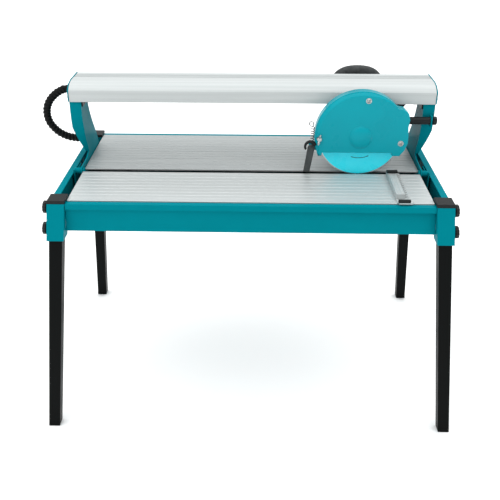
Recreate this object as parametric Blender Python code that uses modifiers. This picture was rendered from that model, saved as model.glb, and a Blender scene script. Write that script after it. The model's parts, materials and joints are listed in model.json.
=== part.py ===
"""Bridge tile saw on four splayed legs, as separate parts in metres with +Z up.

The origin is on the floor under the middle of the frame. +X runs along the cut, to the
operator's right, and +Y points away from the operator, who stands at -Y. The cutting head
hangs under a bridge beam, slides along X, and tilts with the bridge about the blade slot.
"""

import math

import bmesh
import bpy
from mathutils import Matrix, Vector

MM = 0.001
GAP = 0.3 * MM
DEEP = 40 * MM

# Frame
FRAME_WIDTH = 900 * MM
FRAME_DEPTH = 477 * MM
TABLE_HEIGHT = 568 * MM
SLOT_BACK = 199 * MM
RAIL_HEIGHT = 72 * MM
RAIL_DROP = 2 * MM
RAIL_LIP_HEIGHT = 14 * MM
RAIL_LIP_DEPTH = 8 * MM
RAIL_FLANGE = 16 * MM
RAIL_FOOT = 20 * MM
RAIL_INSET = 1.5 * MM
SHEET = 3 * MM
POST_SIDE = 39 * MM
POST_WALL = 3.5 * MM
POST_TOP = 1.5 * MM
POST_DROP = 87 * MM
SPLAY_X = math.radians(5)
SPLAY_Y = math.radians(9)
CAP_HEIGHT = 8 * MM
CAP_OVERHANG = 0.6 * MM
CAP_PLUG = 8 * MM
LEG_CLEARANCE = 0.5 * MM
LEG_TOP_GAP = 4 * MM
LEG_TAPER = 0.88
LEG_WALL = 2.5 * MM
LEG_FOOT = 15 * MM
LEG_STRAIGHT = 10 * MM
KNOB_RADIUS = 14.5 * MM
KNOB_HEIGHT = 12 * MM
KNOB_SHAFT_RADIUS = 4 * MM
KNOB_DROPS = (16 * MM, 65 * MM)

# Table and tray
SLOT_WIDTH = 20 * MM
PLATE_THICKNESS = 4 * MM
PLATE_END_GAP = 2 * MM
TRAY_WALL = 2.5 * MM
TRAY_INSET = 4 * MM
DRAIN_RADIUS = 11 * MM
PUMP_SIZE = (58 * MM, 46 * MM, 42 * MM)
PUMP_OUTLET_RADIUS = 6 * MM
PUMP_OUTLET_LENGTH = 14 * MM
PUMP_OUTLET_DROP = 12 * MM

# Blade and head
BLADE_RADIUS = 100 * MM
BLADE_THICKNESS = 2.2 * MM
BLADE_DIP = 5 * MM
BORE_RADIUS = 12.5 * MM
ARBOR_RADIUS = 12.2 * MM
FLANGE_RADIUS = 22 * MM
HEAD_INSET = 192 * MM
GUARD_CLEARANCE = 5.5 * MM
GUARD_WALL = 2.5 * MM
GUARD_FRONT = 18 * MM
GUARD_BACK = 12 * MM
GEARBOX_DEPTH = 45 * MM
GEARBOX_HALF_WIDTH = 42 * MM
MOTOR_RADIUS = 42 * MM
MOTOR_END = 213 * MM
CARRIAGE_LEFT = 72 * MM
CARRIAGE_RIGHT = 112 * MM
CARRIAGE_HEIGHT = 15 * MM
AXLE_RADIUS = 4 * MM
AXLE_SPACING = 84 * MM
ROLLER_RADIUS = 12 * MM
ROLLER_WIDTH = 9 * MM
HANDLE_RADIUS = 14.5 * MM
HANDLE_HALF_WIDTH = 52 * MM
HANDLE_OFFSET = 8 * MM
HANDLE_RISE = 44 * MM
SWITCH_TRAVEL = 4 * MM
FLAP_FORWARD = 2 * MM
FLAP_THICKNESS = 5 * MM

# Bridge
BEAM_FRONT = 43.5 * MM
BEAM_DEPTH = 113 * MM
BEAM_BOTTOM = 157 * MM
BEAM_HEIGHT = 43 * MM
BEAM_FACE = 27 * MM
BEAM_SLOT = 46 * MM
SUPPORT_FLANGE = 28 * MM
SUPPORT_TAPER = 75 * MM
SUPPORT_TIP = 9 * MM
PIVOT_DROP = 2 * MM
PIVOT_RADIUS = 5 * MM
PIVOT_CLEARANCE = 0.4 * MM
PIVOT_HEAD = 8 * MM
PIVOT_SHOULDER = 7.5 * MM
STUD_RADIUS = 4 * MM
STUD_REACH = 46 * MM
STUD_ANGLE = math.radians(-14)
TILT_RANGE = math.radians(45)
LOCK_BACK = 35 * MM
LOCK_HEIGHT = 120 * MM
LOCK_RADIUS = 9 * MM
LOCK_LUG_INSET = 17 * MM
LOCK_PIN_RADIUS = 4 * MM
CONDUIT_RADIUS = 10 * MM
GLAND_RADIUS = 14 * MM
GLAND_LENGTH = 11 * MM

# Fence
FENCE_INSET = 114 * MM
FENCE_BAR_WIDTH = 19 * MM
FENCE_BAR_HEIGHT = 10.5 * MM
FENCE_STRIP_WIDTH = 17 * MM
FENCE_STRIP_HEIGHT = 3 * MM
FENCE_PIN_BACK = 35 * MM
FENCE_PIN_RADIUS = 3 * MM
FENCE_PIN_RISE = 4 * MM
FENCE_KNOB_LENGTH = 26 * MM
FENCE_KNOB_WIDTH = 11 * MM
FENCE_KNOB_HEIGHT = 6 * MM

# Places that several parts share
SLOT_Y = SLOT_BACK - FRAME_DEPTH / 2
PIVOT = Vector((0, SLOT_Y, TABLE_HEIGHT - PIVOT_DROP))
WEB_INNER = FRAME_WIDTH / 2 - POST_SIDE
WEB_OUTER = WEB_INNER + SHEET
RAIL_TOP = TABLE_HEIGHT - RAIL_DROP
RAIL_BOTTOM = TABLE_HEIGHT - RAIL_HEIGHT
SPINDLE_Z = TABLE_HEIGHT + BLADE_RADIUS - BLADE_DIP
HEAD_X = FRAME_WIDTH / 2 - HEAD_INSET
SPINDLE = Vector((HEAD_X, SLOT_Y, SPINDLE_Z))
GUARD_RADIUS = BLADE_RADIUS + GUARD_CLEARANCE + GUARD_WALL
BEAM_Z = TABLE_HEIGHT + BEAM_BOTTOM
BEAM_Y = SLOT_Y + BEAM_FRONT
BEAM_HALF = WEB_INNER + SUPPORT_FLANGE - 1.3 * MM
BEAM_MIDDLE = BEAM_Y + BEAM_DEPTH / 2
END_PLATE_OUTER = BEAM_HALF + GAP + SHEET
FENCE_X = FRAME_WIDTH / 2 - FENCE_INSET

COLOURS = {
    "teal": ((0.0, 0.30, 0.37), 0.32, 0.0),
    "teal_dark": ((0.0, 0.20, 0.24), 0.4, 0.0),
    "cyan": ((0.02, 0.55, 0.66), 0.3, 0.0),
    "aluminium": ((0.72, 0.75, 0.75), 0.35, 0.9),
    "steel": ((0.62, 0.63, 0.63), 0.3, 1.0),
    "black_steel": ((0.012, 0.014, 0.014), 0.45, 0.0),
    "black_plastic": ((0.035, 0.038, 0.04), 0.5, 0.0),
    "rubber": ((0.05, 0.05, 0.05), 0.8, 0.0),
}


# Scene, collections and materials

def clear_scene():
    """Remove every object, so that the model starts from an empty scene."""
    for obj in list(bpy.data.objects):
        bpy.data.objects.remove(obj, do_unlink=True)


def new_collection(name):
    """Make a collection and link it to the scene."""
    made = bpy.data.collections.new(name)
    bpy.context.scene.collection.children.link(made)
    return made


clear_scene()
PARTS = new_collection("wet_tile_saw")
CUTTERS = new_collection("cutters")


def material(part, finish):
    """Give a part its own Principled BSDF material with the named finish."""
    colour, roughness, metallic = COLOURS[finish]
    made = bpy.data.materials.new(part.name + "_" + finish)
    made.use_nodes = True
    shader = made.node_tree.nodes["Principled BSDF"]
    shader.inputs["Base Color"].default_value = (*colour, 1)
    shader.inputs["Roughness"].default_value = roughness
    shader.inputs["Metallic"].default_value = metallic
    part.data.materials.clear()
    part.data.materials.append(made)


def finish_part(part, name, finish, parent=None, origin=None):
    """Name a shape as a part, colour it, put its origin on its axis and parent it."""
    part.name = name
    part.data.name = name
    CUTTERS.objects.unlink(part)
    PARTS.objects.link(part)
    material(part, finish)
    if origin is not None:
        offset = part.matrix_basis.inverted() @ Vector(origin)
        part.data.transform(Matrix.Translation(-offset))
        part.location = origin
    if parent is not None:
        part.parent = parent
        part.matrix_parent_inverse = Matrix.Translation(-parent.location)
    return part


def joint_empty(name, place, parent=None):
    """Mark a joint with an empty that the moving parts hang on."""
    made = bpy.data.objects.new(name, None)
    made.location = place
    made.empty_display_size = 0.03
    PARTS.objects.link(made)
    if parent is not None:
        made.parent = parent
        made.matrix_parent_inverse = Matrix.Translation(-parent.location)
    return made


# Shapes. Each starts as a helper in the cutter collection until finish_part names it

def shape_from(bm, name="shape"):
    """Turn a bmesh into a helper object."""
    bmesh.ops.recalc_face_normals(bm, faces=bm.faces)
    mesh = bpy.data.meshes.new(name)
    bm.to_mesh(mesh)
    bm.free()
    made = bpy.data.objects.new(name, mesh)
    CUTTERS.objects.link(made)
    return made


def box(x, y, z):
    """Make a box from its low and high value on each axis."""
    bm = bmesh.new()
    bmesh.ops.create_cube(bm, size=1)
    size = Vector((x[1] - x[0], y[1] - y[0], z[1] - z[0]))
    bmesh.ops.scale(bm, vec=size, verts=bm.verts)
    centre = Vector((x[0] + x[1], y[0] + y[1], z[0] + z[1])) / 2
    bmesh.ops.translate(bm, vec=centre, verts=bm.verts)
    return shape_from(bm)


def along(axis):
    """Give the rotation that turns +Z onto an axis."""
    return Vector((0, 0, 1)).rotation_difference(Vector(axis)).to_matrix().to_4x4()


def rod(start, end, radius, segments=24):
    """Make a plain cylinder between two points."""
    start, end = Vector(start), Vector(end)
    bm = bmesh.new()
    bmesh.ops.create_cone(
        bm, cap_ends=True, segments=segments, radius1=radius, radius2=radius, depth=(end - start).length
    )
    bmesh.ops.transform(
        bm, matrix=Matrix.Translation((start + end) / 2) @ along(end - start), verts=bm.verts
    )
    return shape_from(bm)


def turned(profile, place, axis, segments=28, ring=False):
    """Turn a profile of (radius, height) points, listed top to bottom, about an axis."""
    mesh = bpy.data.meshes.new("turned")
    points = [(radius, 0, height) for radius, height in profile]
    edges = [(i, i + 1) for i in range(len(points) - 1)]
    if ring:
        edges.append((len(points) - 1, 0))
    mesh.from_pydata(points, edges, [])
    made = bpy.data.objects.new("turned", mesh)
    CUTTERS.objects.link(made)
    screw = made.modifiers.new("Screw", "SCREW")
    screw.steps = segments
    screw.render_steps = segments
    screw.use_merge_vertices = True
    screw.merge_threshold = 1e-5
    made.matrix_basis = Matrix.Translation(Vector(place)) @ along(axis)
    return as_mesh(made)


def as_mesh(source):
    """Replace an object by the mesh that its curve or modifiers make, welded and closed."""
    bpy.context.view_layer.update()
    graph = bpy.context.evaluated_depsgraph_get()
    mesh = bpy.data.meshes.new_from_object(source.evaluated_get(graph))
    place = source.matrix_basis.copy()
    bpy.data.objects.remove(source, do_unlink=True)
    bm = bmesh.new()
    bm.from_mesh(mesh)
    bpy.data.meshes.remove(mesh)
    bmesh.ops.remove_doubles(bm, verts=bm.verts, dist=1e-6)
    made = shape_from(bm)
    made.matrix_basis = place
    return made


def plate(outlines, low, high, axis):
    """Extrude flat outlines along X, Y or Z. Outlines after the first are holes.

    Points are (y, z) for axis X, (x, z) for axis Y and (x, y) for axis Z.
    """
    curve = bpy.data.curves.new("plate", "CURVE")
    curve.dimensions = "2D"
    curve.fill_mode = "BOTH"
    curve.extrude = (high - low) / 2
    for outline in outlines:
        spline = curve.splines.new("POLY")
        spline.points.add(len(outline) - 1)
        spline.use_cyclic_u = True
        for point, (u, v) in zip(spline.points, outline):
            point.co = (u, v, 0, 1)
    source = bpy.data.objects.new("plate", curve)
    CUTTERS.objects.link(source)
    made = as_mesh(source)
    middle = (low + high) / 2
    turns = {
        "X": Matrix(((0, 0, 1, middle), (1, 0, 0, 0), (0, 1, 0, 0), (0, 0, 0, 1))),
        "Y": Matrix(((1, 0, 0, 0), (0, 0, -1, middle), (0, 1, 0, 0), (0, 0, 0, 1))),
        "Z": Matrix.Translation((0, 0, middle)),
    }
    made.data.transform(turns[axis])
    return made


def combine(target, operation, others):
    """Apply one Boolean for each helper, and remove the helper."""
    for other in others:
        modifier = target.modifiers.new(operation.title(), "BOOLEAN")
        modifier.operation = operation
        modifier.solver = "EXACT"
        modifier.object = other
    made = as_mesh_in_place(target)
    for other in others:
        bpy.data.objects.remove(other, do_unlink=True)
    return made


def as_mesh_in_place(source):
    """Bake the modifiers of a mesh, keeping its place."""
    made = as_mesh(source)
    made.data.transform(made.matrix_basis)
    made.matrix_basis = Matrix()
    return made


def cut(target, *cutters):
    """Subtract helpers from a shape."""
    return combine(target, "DIFFERENCE", cutters)


def join(target, *others):
    """Fuse helpers to a shape."""
    return combine(target, "UNION", others)


def smooth(part, angle=35):
    """Shade round faces smooth and keep the sharp edges."""
    part.data.shade_smooth()
    part.data.set_sharp_from_angle(angle=math.radians(angle))
    return part


# Outlines

def arc(centre, radius, start, end, steps):
    """Points along an arc, with angles in degrees."""
    angles = [math.radians(start + (end - start) * i / steps) for i in range(steps + 1)]
    return [(centre[0] + radius * math.cos(a), centre[1] + radius * math.sin(a)) for a in angles]


def catmull_rom(values, t):
    """One coordinate of a smooth curve, a share t of the way from the second value to the third."""
    p, q, r, s = values
    bend = (2 * p - 5 * q + 4 * r - s) * t**2 + (3 * q - p - 3 * r + s) * t**3
    return 0.5 * (2 * q + (r - p) * t + bend)


def flowing(points, steps=4):
    """Points along a smooth curve through the given points."""
    ends = [points[0]] + list(points) + [points[-1]]
    found = []
    for a, b, c, d in zip(ends, ends[1:], ends[2:], ends[3:]):
        for i in range(steps):
            t = i / steps
            found.append(tuple(catmull_rom(values, t) for values in zip(a, b, c, d)))
    return found + [points[-1]]


def offset_path(points, distance):
    """Move an open path sideways, to the left of its direction."""
    found = []
    for i, (u, v) in enumerate(points):
        before = points[max(i - 1, 0)]
        after = points[min(i + 1, len(points) - 1)]
        run = Vector((after[0] - before[0], after[1] - before[1])).normalized()
        found.append((u - run.y * distance, v + run.x * distance))
    return found


def placed(points, u, v):
    """Shift an outline."""
    return [(a + u, b + v) for a, b in points]


# Corners: each post is a socket that leans with its leg

CORNERS = {
    "front_left": (-1, -1),
    "front_right": (1, -1),
    "rear_left": (-1, 1),
    "rear_right": (1, 1),
}


def leaned(part, side_x, side_y):
    """Move a shape built about the vertical through the origin onto its leaning corner."""
    shear = Matrix.Identity(4)
    shear[0][2] = -side_x * math.tan(SPLAY_X)
    shear[1][2] = -side_y * math.tan(SPLAY_Y)
    place = Matrix.Translation((
        side_x * (FRAME_WIDTH - POST_SIDE) / 2,
        side_y * (FRAME_DEPTH - POST_SIDE) / 2,
        TABLE_HEIGHT,
    ))
    part.data.transform(place @ shear)
    return part


def square(side, low, high):
    """A square bar about the vertical through the origin."""
    half = side / 2
    return box((-half, half), (-half, half), (low, high))


def post_envelope(side_x, side_y):
    """The room that a post takes up, which the rails are cut to."""
    return leaned(square(POST_SIDE + 2 * GAP, -POST_DROP - DEEP, DEEP), side_x, side_y)


def knob_frame(side_x, side_y, drop):
    """The point on the post's outer side where a knob's axis meets it, and the axis."""
    out = Vector((side_x, 0, math.tan(SPLAY_X))).normalized()
    return Vector((
        side_x * (FRAME_WIDTH / 2 + drop * math.tan(SPLAY_X)),
        side_y * ((FRAME_DEPTH - POST_SIDE) / 2 + drop * math.tan(SPLAY_Y)),
        TABLE_HEIGHT - drop,
    )), out


def socket_mouth(side_x, side_y):
    """The middle of a post's open lower end, where its leg slides out."""
    return Vector((
        side_x * ((FRAME_WIDTH - POST_SIDE) / 2 + POST_DROP * math.tan(SPLAY_X)),
        side_y * ((FRAME_DEPTH - POST_SIDE) / 2 + POST_DROP * math.tan(SPLAY_Y)),
        TABLE_HEIGHT - POST_DROP,
    ))


def build_corner(label, side_x, side_y):
    """Post, cap, leg and two knobs of one corner."""
    post = leaned(square(POST_SIDE, -POST_DROP, -POST_TOP), side_x, side_y)
    socket = leaned(square(POST_SIDE - 2 * POST_WALL, -POST_DROP - DEEP, DEEP), side_x, side_y)
    holes = []
    for drop in KNOB_DROPS:
        at, out = knob_frame(side_x, side_y, drop)
        holes.append(rod(at - out * POST_WALL * 2, at + out * POST_WALL, KNOB_SHAFT_RADIUS + GAP, 16))
    finish_part(cut(post, socket, *holes), "post_" + label, "teal")

    cap_side = POST_SIDE + 2 * CAP_OVERHANG
    cap = leaned(square(cap_side, GAP - POST_TOP, CAP_HEIGHT - POST_TOP), side_x, side_y)
    plug_side = POST_SIDE - 2 * POST_WALL - 2 * GAP
    plug = leaned(square(plug_side, -POST_TOP - CAP_PLUG, CAP_HEIGHT / 2 - POST_TOP), side_x, side_y)
    finish_part(join(cap, plug), "cap_" + label, "black_plastic")

    leg_side = POST_SIDE - 2 * POST_WALL - 2 * LEG_CLEARANCE
    top = -POST_TOP - CAP_PLUG - LEG_TOP_GAP
    leg = square(leg_side, -TABLE_HEIGHT, top)
    bm = bmesh.new()
    bm.from_mesh(leg.data)
    everything = bm.verts[:] + bm.edges[:] + bm.faces[:]
    below_socket = (0, 0, -POST_DROP - LEG_STRAIGHT)
    bmesh.ops.bisect_plane(bm, geom=everything, plane_co=below_socket, plane_no=(0, 0, 1))
    feet = [v for v in bm.verts if v.co.z < below_socket[2] - LEG_STRAIGHT]
    bmesh.ops.scale(bm, vec=(LEG_TAPER, LEG_TAPER, 1), verts=feet)
    bm.to_mesh(leg.data)
    bm.free()
    bore_side = LEG_TAPER * leg_side - 2 * LEG_WALL
    bore = leaned(square(bore_side, -TABLE_HEIGHT + LEG_FOOT, DEEP), side_x, side_y)
    leg = cut(leaned(leg, side_x, side_y), bore)
    finish_part(leg, "leg_" + label, "black_steel", origin=socket_mouth(side_x, side_y))

    for place, drop in zip(("upper", "lower"), KNOB_DROPS):
        at, out = knob_frame(side_x, side_y, drop)
        inner = -POST_WALL + GAP / 2
        profile = [
            (0, KNOB_HEIGHT), (KNOB_RADIUS - 3 * MM, KNOB_HEIGHT), (KNOB_RADIUS, KNOB_HEIGHT - 3 * MM),
            (KNOB_RADIUS, 4 * MM), (KNOB_RADIUS - 4 * MM, GAP), (KNOB_SHAFT_RADIUS, GAP),
            (KNOB_SHAFT_RADIUS, inner), (0, inner),
        ]
        knob = turned(profile, at, out, 24)
        finish_part(smooth(knob), f"leg_knob_{label}_{place}", "black_plastic")


# Rails

def rail_section(outer, inward):
    """Section of a rail: a deep top lip over a recessed web, with a foot that carries the tray.

    outer is where the lip's face stands, and inward is +1 or -1, towards the table.
    """
    lip_floor = RAIL_TOP - RAIL_LIP_HEIGHT
    points = [
        (0, RAIL_TOP), (0, lip_floor), (RAIL_LIP_DEPTH, lip_floor), (RAIL_LIP_DEPTH, RAIL_BOTTOM),
        (RAIL_FOOT, RAIL_BOTTOM), (RAIL_FOOT, RAIL_BOTTOM + SHEET),
        (RAIL_LIP_DEPTH + SHEET, RAIL_BOTTOM + SHEET), (RAIL_LIP_DEPTH + SHEET, RAIL_TOP - SHEET),
        (RAIL_FLANGE, RAIL_TOP - SHEET), (RAIL_FLANGE, RAIL_TOP),
    ]
    return [(outer + inward * u, v) for u, v in points]


def build_rails():
    """Four rails between the posts."""
    reach_x = (FRAME_WIDTH - POST_SIDE) / 2
    reach_y = (FRAME_DEPTH - POST_SIDE) / 2
    for name, side in (("rail_front", -1), ("rail_rear", 1)):
        outline = rail_section(side * (FRAME_DEPTH / 2 - RAIL_INSET), -side)
        rail = plate([outline], -reach_x, reach_x, "X")
        ends = [post_envelope(end, side) for end in (-1, 1)]
        finish_part(cut(rail, *ends), name, "teal")
    for name, side in (("rail_left", -1), ("rail_right", 1)):
        outline = rail_section(side * (FRAME_WIDTH / 2 - RAIL_INSET), -side)
        rail = plate([outline], -reach_y, reach_y, "Y")
        ends = [post_envelope(side, end) for end in (-1, 1)]
        finish_part(cut(rail, *ends), name, "teal")


# Table, tray and pump

TRAY_X = WEB_INNER - TRAY_INSET - PLATE_END_GAP
TRAY_TOP = TABLE_HEIGHT - PLATE_THICKNESS - GAP
TRAY_BOTTOM = RAIL_BOTTOM + SHEET + GAP
TRAY_Y = FRAME_DEPTH / 2 - RAIL_INSET - RAIL_FOOT - 1 * MM


def build_table():
    """Two ribbed plates with the blade slot between them."""
    half = WEB_INNER - PLATE_END_GAP
    front_edge = -FRAME_DEPTH / 2 + RAIL_INSET + RAIL_FLANGE + PLATE_END_GAP
    rear_edge = FRAME_DEPTH / 2 - RAIL_INSET - RAIL_FLANGE - PLATE_END_GAP
    level = (TABLE_HEIGHT - PLATE_THICKNESS, TABLE_HEIGHT)
    front = box((-half, half), (front_edge, SLOT_Y - SLOT_WIDTH / 2), level)
    finish_part(front, "table_front", "aluminium")
    rear = box((-half, half), (SLOT_Y + SLOT_WIDTH / 2, rear_edge), level)
    finish_part(rear, "table_rear", "aluminium")


def build_tray():
    """Water tray that hangs on the side rails, with its drain plug and pump."""
    pan = box((-TRAY_X, TRAY_X), (-TRAY_Y, TRAY_Y), (TRAY_BOTTOM, TRAY_TOP))
    hollow = box(
        (-TRAY_X + TRAY_WALL, TRAY_X - TRAY_WALL),
        (-TRAY_Y + TRAY_WALL, TRAY_Y - TRAY_WALL),
        (TRAY_BOTTOM + TRAY_WALL, TRAY_TOP + DEEP),
    )
    wing_x = FRAME_WIDTH / 2 - RAIL_INSET - RAIL_LIP_DEPTH - SHEET - 1 * MM
    wing_y = FRAME_DEPTH / 2 - POST_SIDE - DEEP / 2
    wings = box((-wing_x, wing_x), (-wing_y, wing_y), (TRAY_BOTTOM, TRAY_BOTTOM + TRAY_WALL))
    drain_x = TRAY_X - DEEP
    drain_y = TRAY_Y - DEEP
    drain = rod(
        (drain_x, drain_y, TRAY_BOTTOM - DEEP), (drain_x, drain_y, TRAY_BOTTOM + DEEP), DRAIN_RADIUS + GAP
    )
    tray = cut(join(pan, wings), hollow, drain)
    finish_part(tray, "water_tray", "teal_dark")

    flange = DRAIN_RADIUS + 4 * MM
    pull = 5 * MM
    plug = [
        (0, TRAY_WALL + 2 * MM), (DRAIN_RADIUS, TRAY_WALL + 2 * MM), (DRAIN_RADIUS, -GAP), (flange, -GAP),
        (flange, -4 * MM), (pull, -5 * MM), (pull, -12 * MM), (0, -12 * MM),
    ]
    drain_plug = turned(plug, (drain_x, drain_y, TRAY_BOTTOM), (0, 0, 1))
    finish_part(smooth(drain_plug), "drain_plug", "rubber")

    floor = TRAY_BOTTOM + TRAY_WALL + GAP
    pump_x = -TRAY_X + DEEP
    pump_y = TRAY_Y - DEEP
    length, width, height = PUMP_SIZE
    body = box((pump_x, pump_x + length), (pump_y - width, pump_y), (floor, floor + height))
    outlet_y = pump_y - width / 2
    outlet_z = floor + height - PUMP_OUTLET_DROP
    outlet_start = (pump_x + length - 2 * MM, outlet_y, outlet_z)
    outlet_end = (pump_x + length + PUMP_OUTLET_LENGTH, outlet_y, outlet_z)
    outlet = rod(outlet_start, outlet_end, PUMP_OUTLET_RADIUS, 16)
    finish_part(join(body, outlet), "water_pump", "black_plastic")


# Bridge

def front_edge():
    """Front edge of a support, from the beam down to the table, as (y, z) about the slot."""
    return flowing([(p[0] * MM, p[1] * MM) for p in (
        (47, 156.7), (46, 132), (47, 110), (52, 82), (61, 56), (73, 34), (80, 20),
    )], 3)


def rear_edge():
    """Rear edge of a support, from below the table up to the beam."""
    return flowing([(p[0] * MM, p[1] * MM) for p in (
        (196, -8), (194, 8), (184, 27), (168, 50), (148, 76), (131, 104), (119, 130), (113, 156.7),
    )], 3)


def support_web():
    """Outline of a support's web about the slot, going round from its toe."""
    lobe = STUD_REACH + 10 * MM
    toe = 12 * MM
    outline = arc((0, -PIVOT_DROP), toe, 260, 80, 9)
    outline += [(30 * MM, 10 * MM), (56 * MM, 12 * MM)]
    outline += list(reversed(front_edge()))
    outline += list(reversed(rear_edge()))
    outline += [(190 * MM, -20 * MM), (110 * MM, -26 * MM)]
    outline += arc((0, -PIVOT_DROP), lobe, -24, -72, 6)
    return outline


def stud_place(angle=0.0):
    """Where the clamp stud lies about the slot, turned on by an angle."""
    reach = STUD_ANGLE + angle
    return STUD_REACH * math.cos(reach), -PIVOT_DROP + STUD_REACH * math.sin(reach)


def tilt_slot():
    """Curved slot in the web that the clamp stud runs in."""
    half = STUD_RADIUS + PIVOT_CLEARANCE + 0.6 * MM
    low = math.degrees(STUD_ANGLE - TILT_RANGE)
    high = math.degrees(STUD_ANGLE)
    centre = (0, -PIVOT_DROP)
    return (
        arc(centre, STUD_REACH + half, low, high, 8)
        + arc(stud_place(), half, high, high + 180, 6)[1:-1]
        + arc(centre, STUD_REACH - half, high, low, 8)
        + arc(stud_place(-TILT_RANGE), half, low + 180, low + 360, 6)[1:-1]
    )


def build_support(label, side, bridge):
    """Bent-sheet support: a web beside the table and a flange along its front edge."""
    inner, outer = sorted((side * WEB_INNER, side * WEB_OUTER))
    hole = arc((0, -PIVOT_DROP), PIVOT_RADIUS + PIVOT_CLEARANCE, 0, 345, 23)
    outlines = [placed(points, SLOT_Y, TABLE_HEIGHT) for points in (support_web(), hole, tilt_slot())]
    web = plate(outlines, inner, outer, "X")
    edge = front_edge()
    strip = edge + list(reversed(offset_path(edge, SHEET)))
    low, high = sorted((side * (WEB_INNER + SHEET / 3), side * (WEB_INNER + SUPPORT_FLANGE)))
    flange = plate([placed(strip, SLOT_Y, TABLE_HEIGHT)], low, high, "X")
    foot = TABLE_HEIGHT + min(z for _, z in edge) - MM
    brim = side * (WEB_INNER + SUPPORT_FLANGE + MM)
    corner = [(side * (WEB_INNER + SUPPORT_TIP), foot), (brim, foot), (brim, foot + SUPPORT_TAPER)]
    flange = cut(flange, plate([corner], SLOT_Y - DEEP, SLOT_Y + 10 * DEEP, "Y"))
    seat = box(
        (low, high),
        (SLOT_Y + 48 * MM, SLOT_Y + 112 * MM),
        (BEAM_Z - GAP - SHEET, BEAM_Z - GAP),
    )
    pieces = [flange, seat]
    if side > 0:
        lug_x = LOCK_LUG_X
        lug = box(
            (lug_x, lug_x + SHEET),
            (SLOT_Y + LOCK_BACK - LOCK_RADIUS - 2 * MM, SLOT_Y + 52 * MM),
            (TABLE_HEIGHT + LOCK_HEIGHT - 13 * MM, TABLE_HEIGHT + LOCK_HEIGHT + 13 * MM),
        )
        pieces.append(lug)
    support = join(web, *pieces)
    if side > 0:
        clear = DEEP / 4
        support = cut(support, lock_rod(LOCK_LUG_X - clear, LOCK_LUG_X + clear, LOCK_PIN_RADIUS + GAP))
    hinge = PIVOT + Vector(((inner + outer) / 2, 0, 0))
    finish_part(support, "support_" + label, "teal_dark", bridge, hinge)


def build_pivot_bracket(label, side):
    """Steel bracket on the side rail with the bridge's pivot pin and its clamp stud."""
    face = side * (FRAME_WIDTH / 2 - RAIL_INSET - RAIL_FLANGE - GAP)
    inner, outer = sorted((face - side * SHEET, face))
    corners = ((-13, 4), (13, 4), (13, -6), (60, -6), (60, -50), (-13, -50))
    outline = [(y * MM, z * MM) for y, z in corners]
    bracket = plate([placed(outline, SLOT_Y, TABLE_HEIGHT)], inner, outer, "X")
    foot_end = side * (FRAME_WIDTH / 2 - RAIL_INSET - RAIL_LIP_DEPTH - SHEET - GAP)
    foot_low, foot_high = sorted((face - side * SHEET, foot_end))
    foot = box(
        (foot_low, foot_high),
        (SLOT_Y - 13 * MM, SLOT_Y + 60 * MM),
        (TABLE_HEIGHT - 50 * MM, TABLE_HEIGHT - 47 * MM),
    )
    head_inner = WEB_INNER - GAP - 4 * MM
    root = abs(face) - SHEET / 2
    pin = rod((side * head_inner, SLOT_Y, PIVOT.z), (side * root, SLOT_Y, PIVOT.z), PIVOT_RADIUS)
    head_outer = WEB_INNER - GAP
    head = rod((side * head_inner, SLOT_Y, PIVOT.z), (side * head_outer, SLOT_Y, PIVOT.z), PIVOT_HEAD)
    step = WEB_OUTER + GAP
    shoulder = rod((side * step, SLOT_Y, PIVOT.z), (side * root, SLOT_Y, PIVOT.z), PIVOT_SHOULDER)
    stud_y, stud_z = stud_place()
    stud = rod(
        (side * (WEB_INNER - 1 * MM), SLOT_Y + stud_y, TABLE_HEIGHT + stud_z),
        (side * root, SLOT_Y + stud_y, TABLE_HEIGHT + stud_z),
        STUD_RADIUS,
    )
    finish_part(join(bracket, foot, pin, head, shoulder, stud), "pivot_bracket_" + label, "steel")

    nut_inner = WEB_OUTER + GAP
    nut_outer = nut_inner + 10 * MM
    profile = [
        (11 * MM, nut_outer - nut_inner), (11 * MM, 0), (STUD_RADIUS + GAP, 0),
        (STUD_RADIUS + GAP, nut_outer - nut_inner),
    ]
    place = (side * nut_inner, SLOT_Y + stud_y, TABLE_HEIGHT + stud_z)
    nut = turned(profile, place, (side, 0, 0), 24, ring=True)
    finish_part(smooth(nut), "bevel_nut_" + label, "black_plastic")


def beam_outline(grow=0.0):
    """Outer section of the beam as (y, z): a low front face, a sloping brow and a flat top."""
    front = BEAM_Y - grow
    rear = BEAM_Y + BEAM_DEPTH + grow
    base = BEAM_Z
    top = BEAM_Z + BEAM_HEIGHT + grow
    brow = BEAM_Z + BEAM_FACE
    return [
        (rear, base), (rear, top), (BEAM_Y + 41 * MM, top), (BEAM_Y + 18 * MM, top - 4 * MM),
        (BEAM_Y + 4 * MM, brow + 5 * MM), (front, brow), (front, base),
    ]


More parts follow.
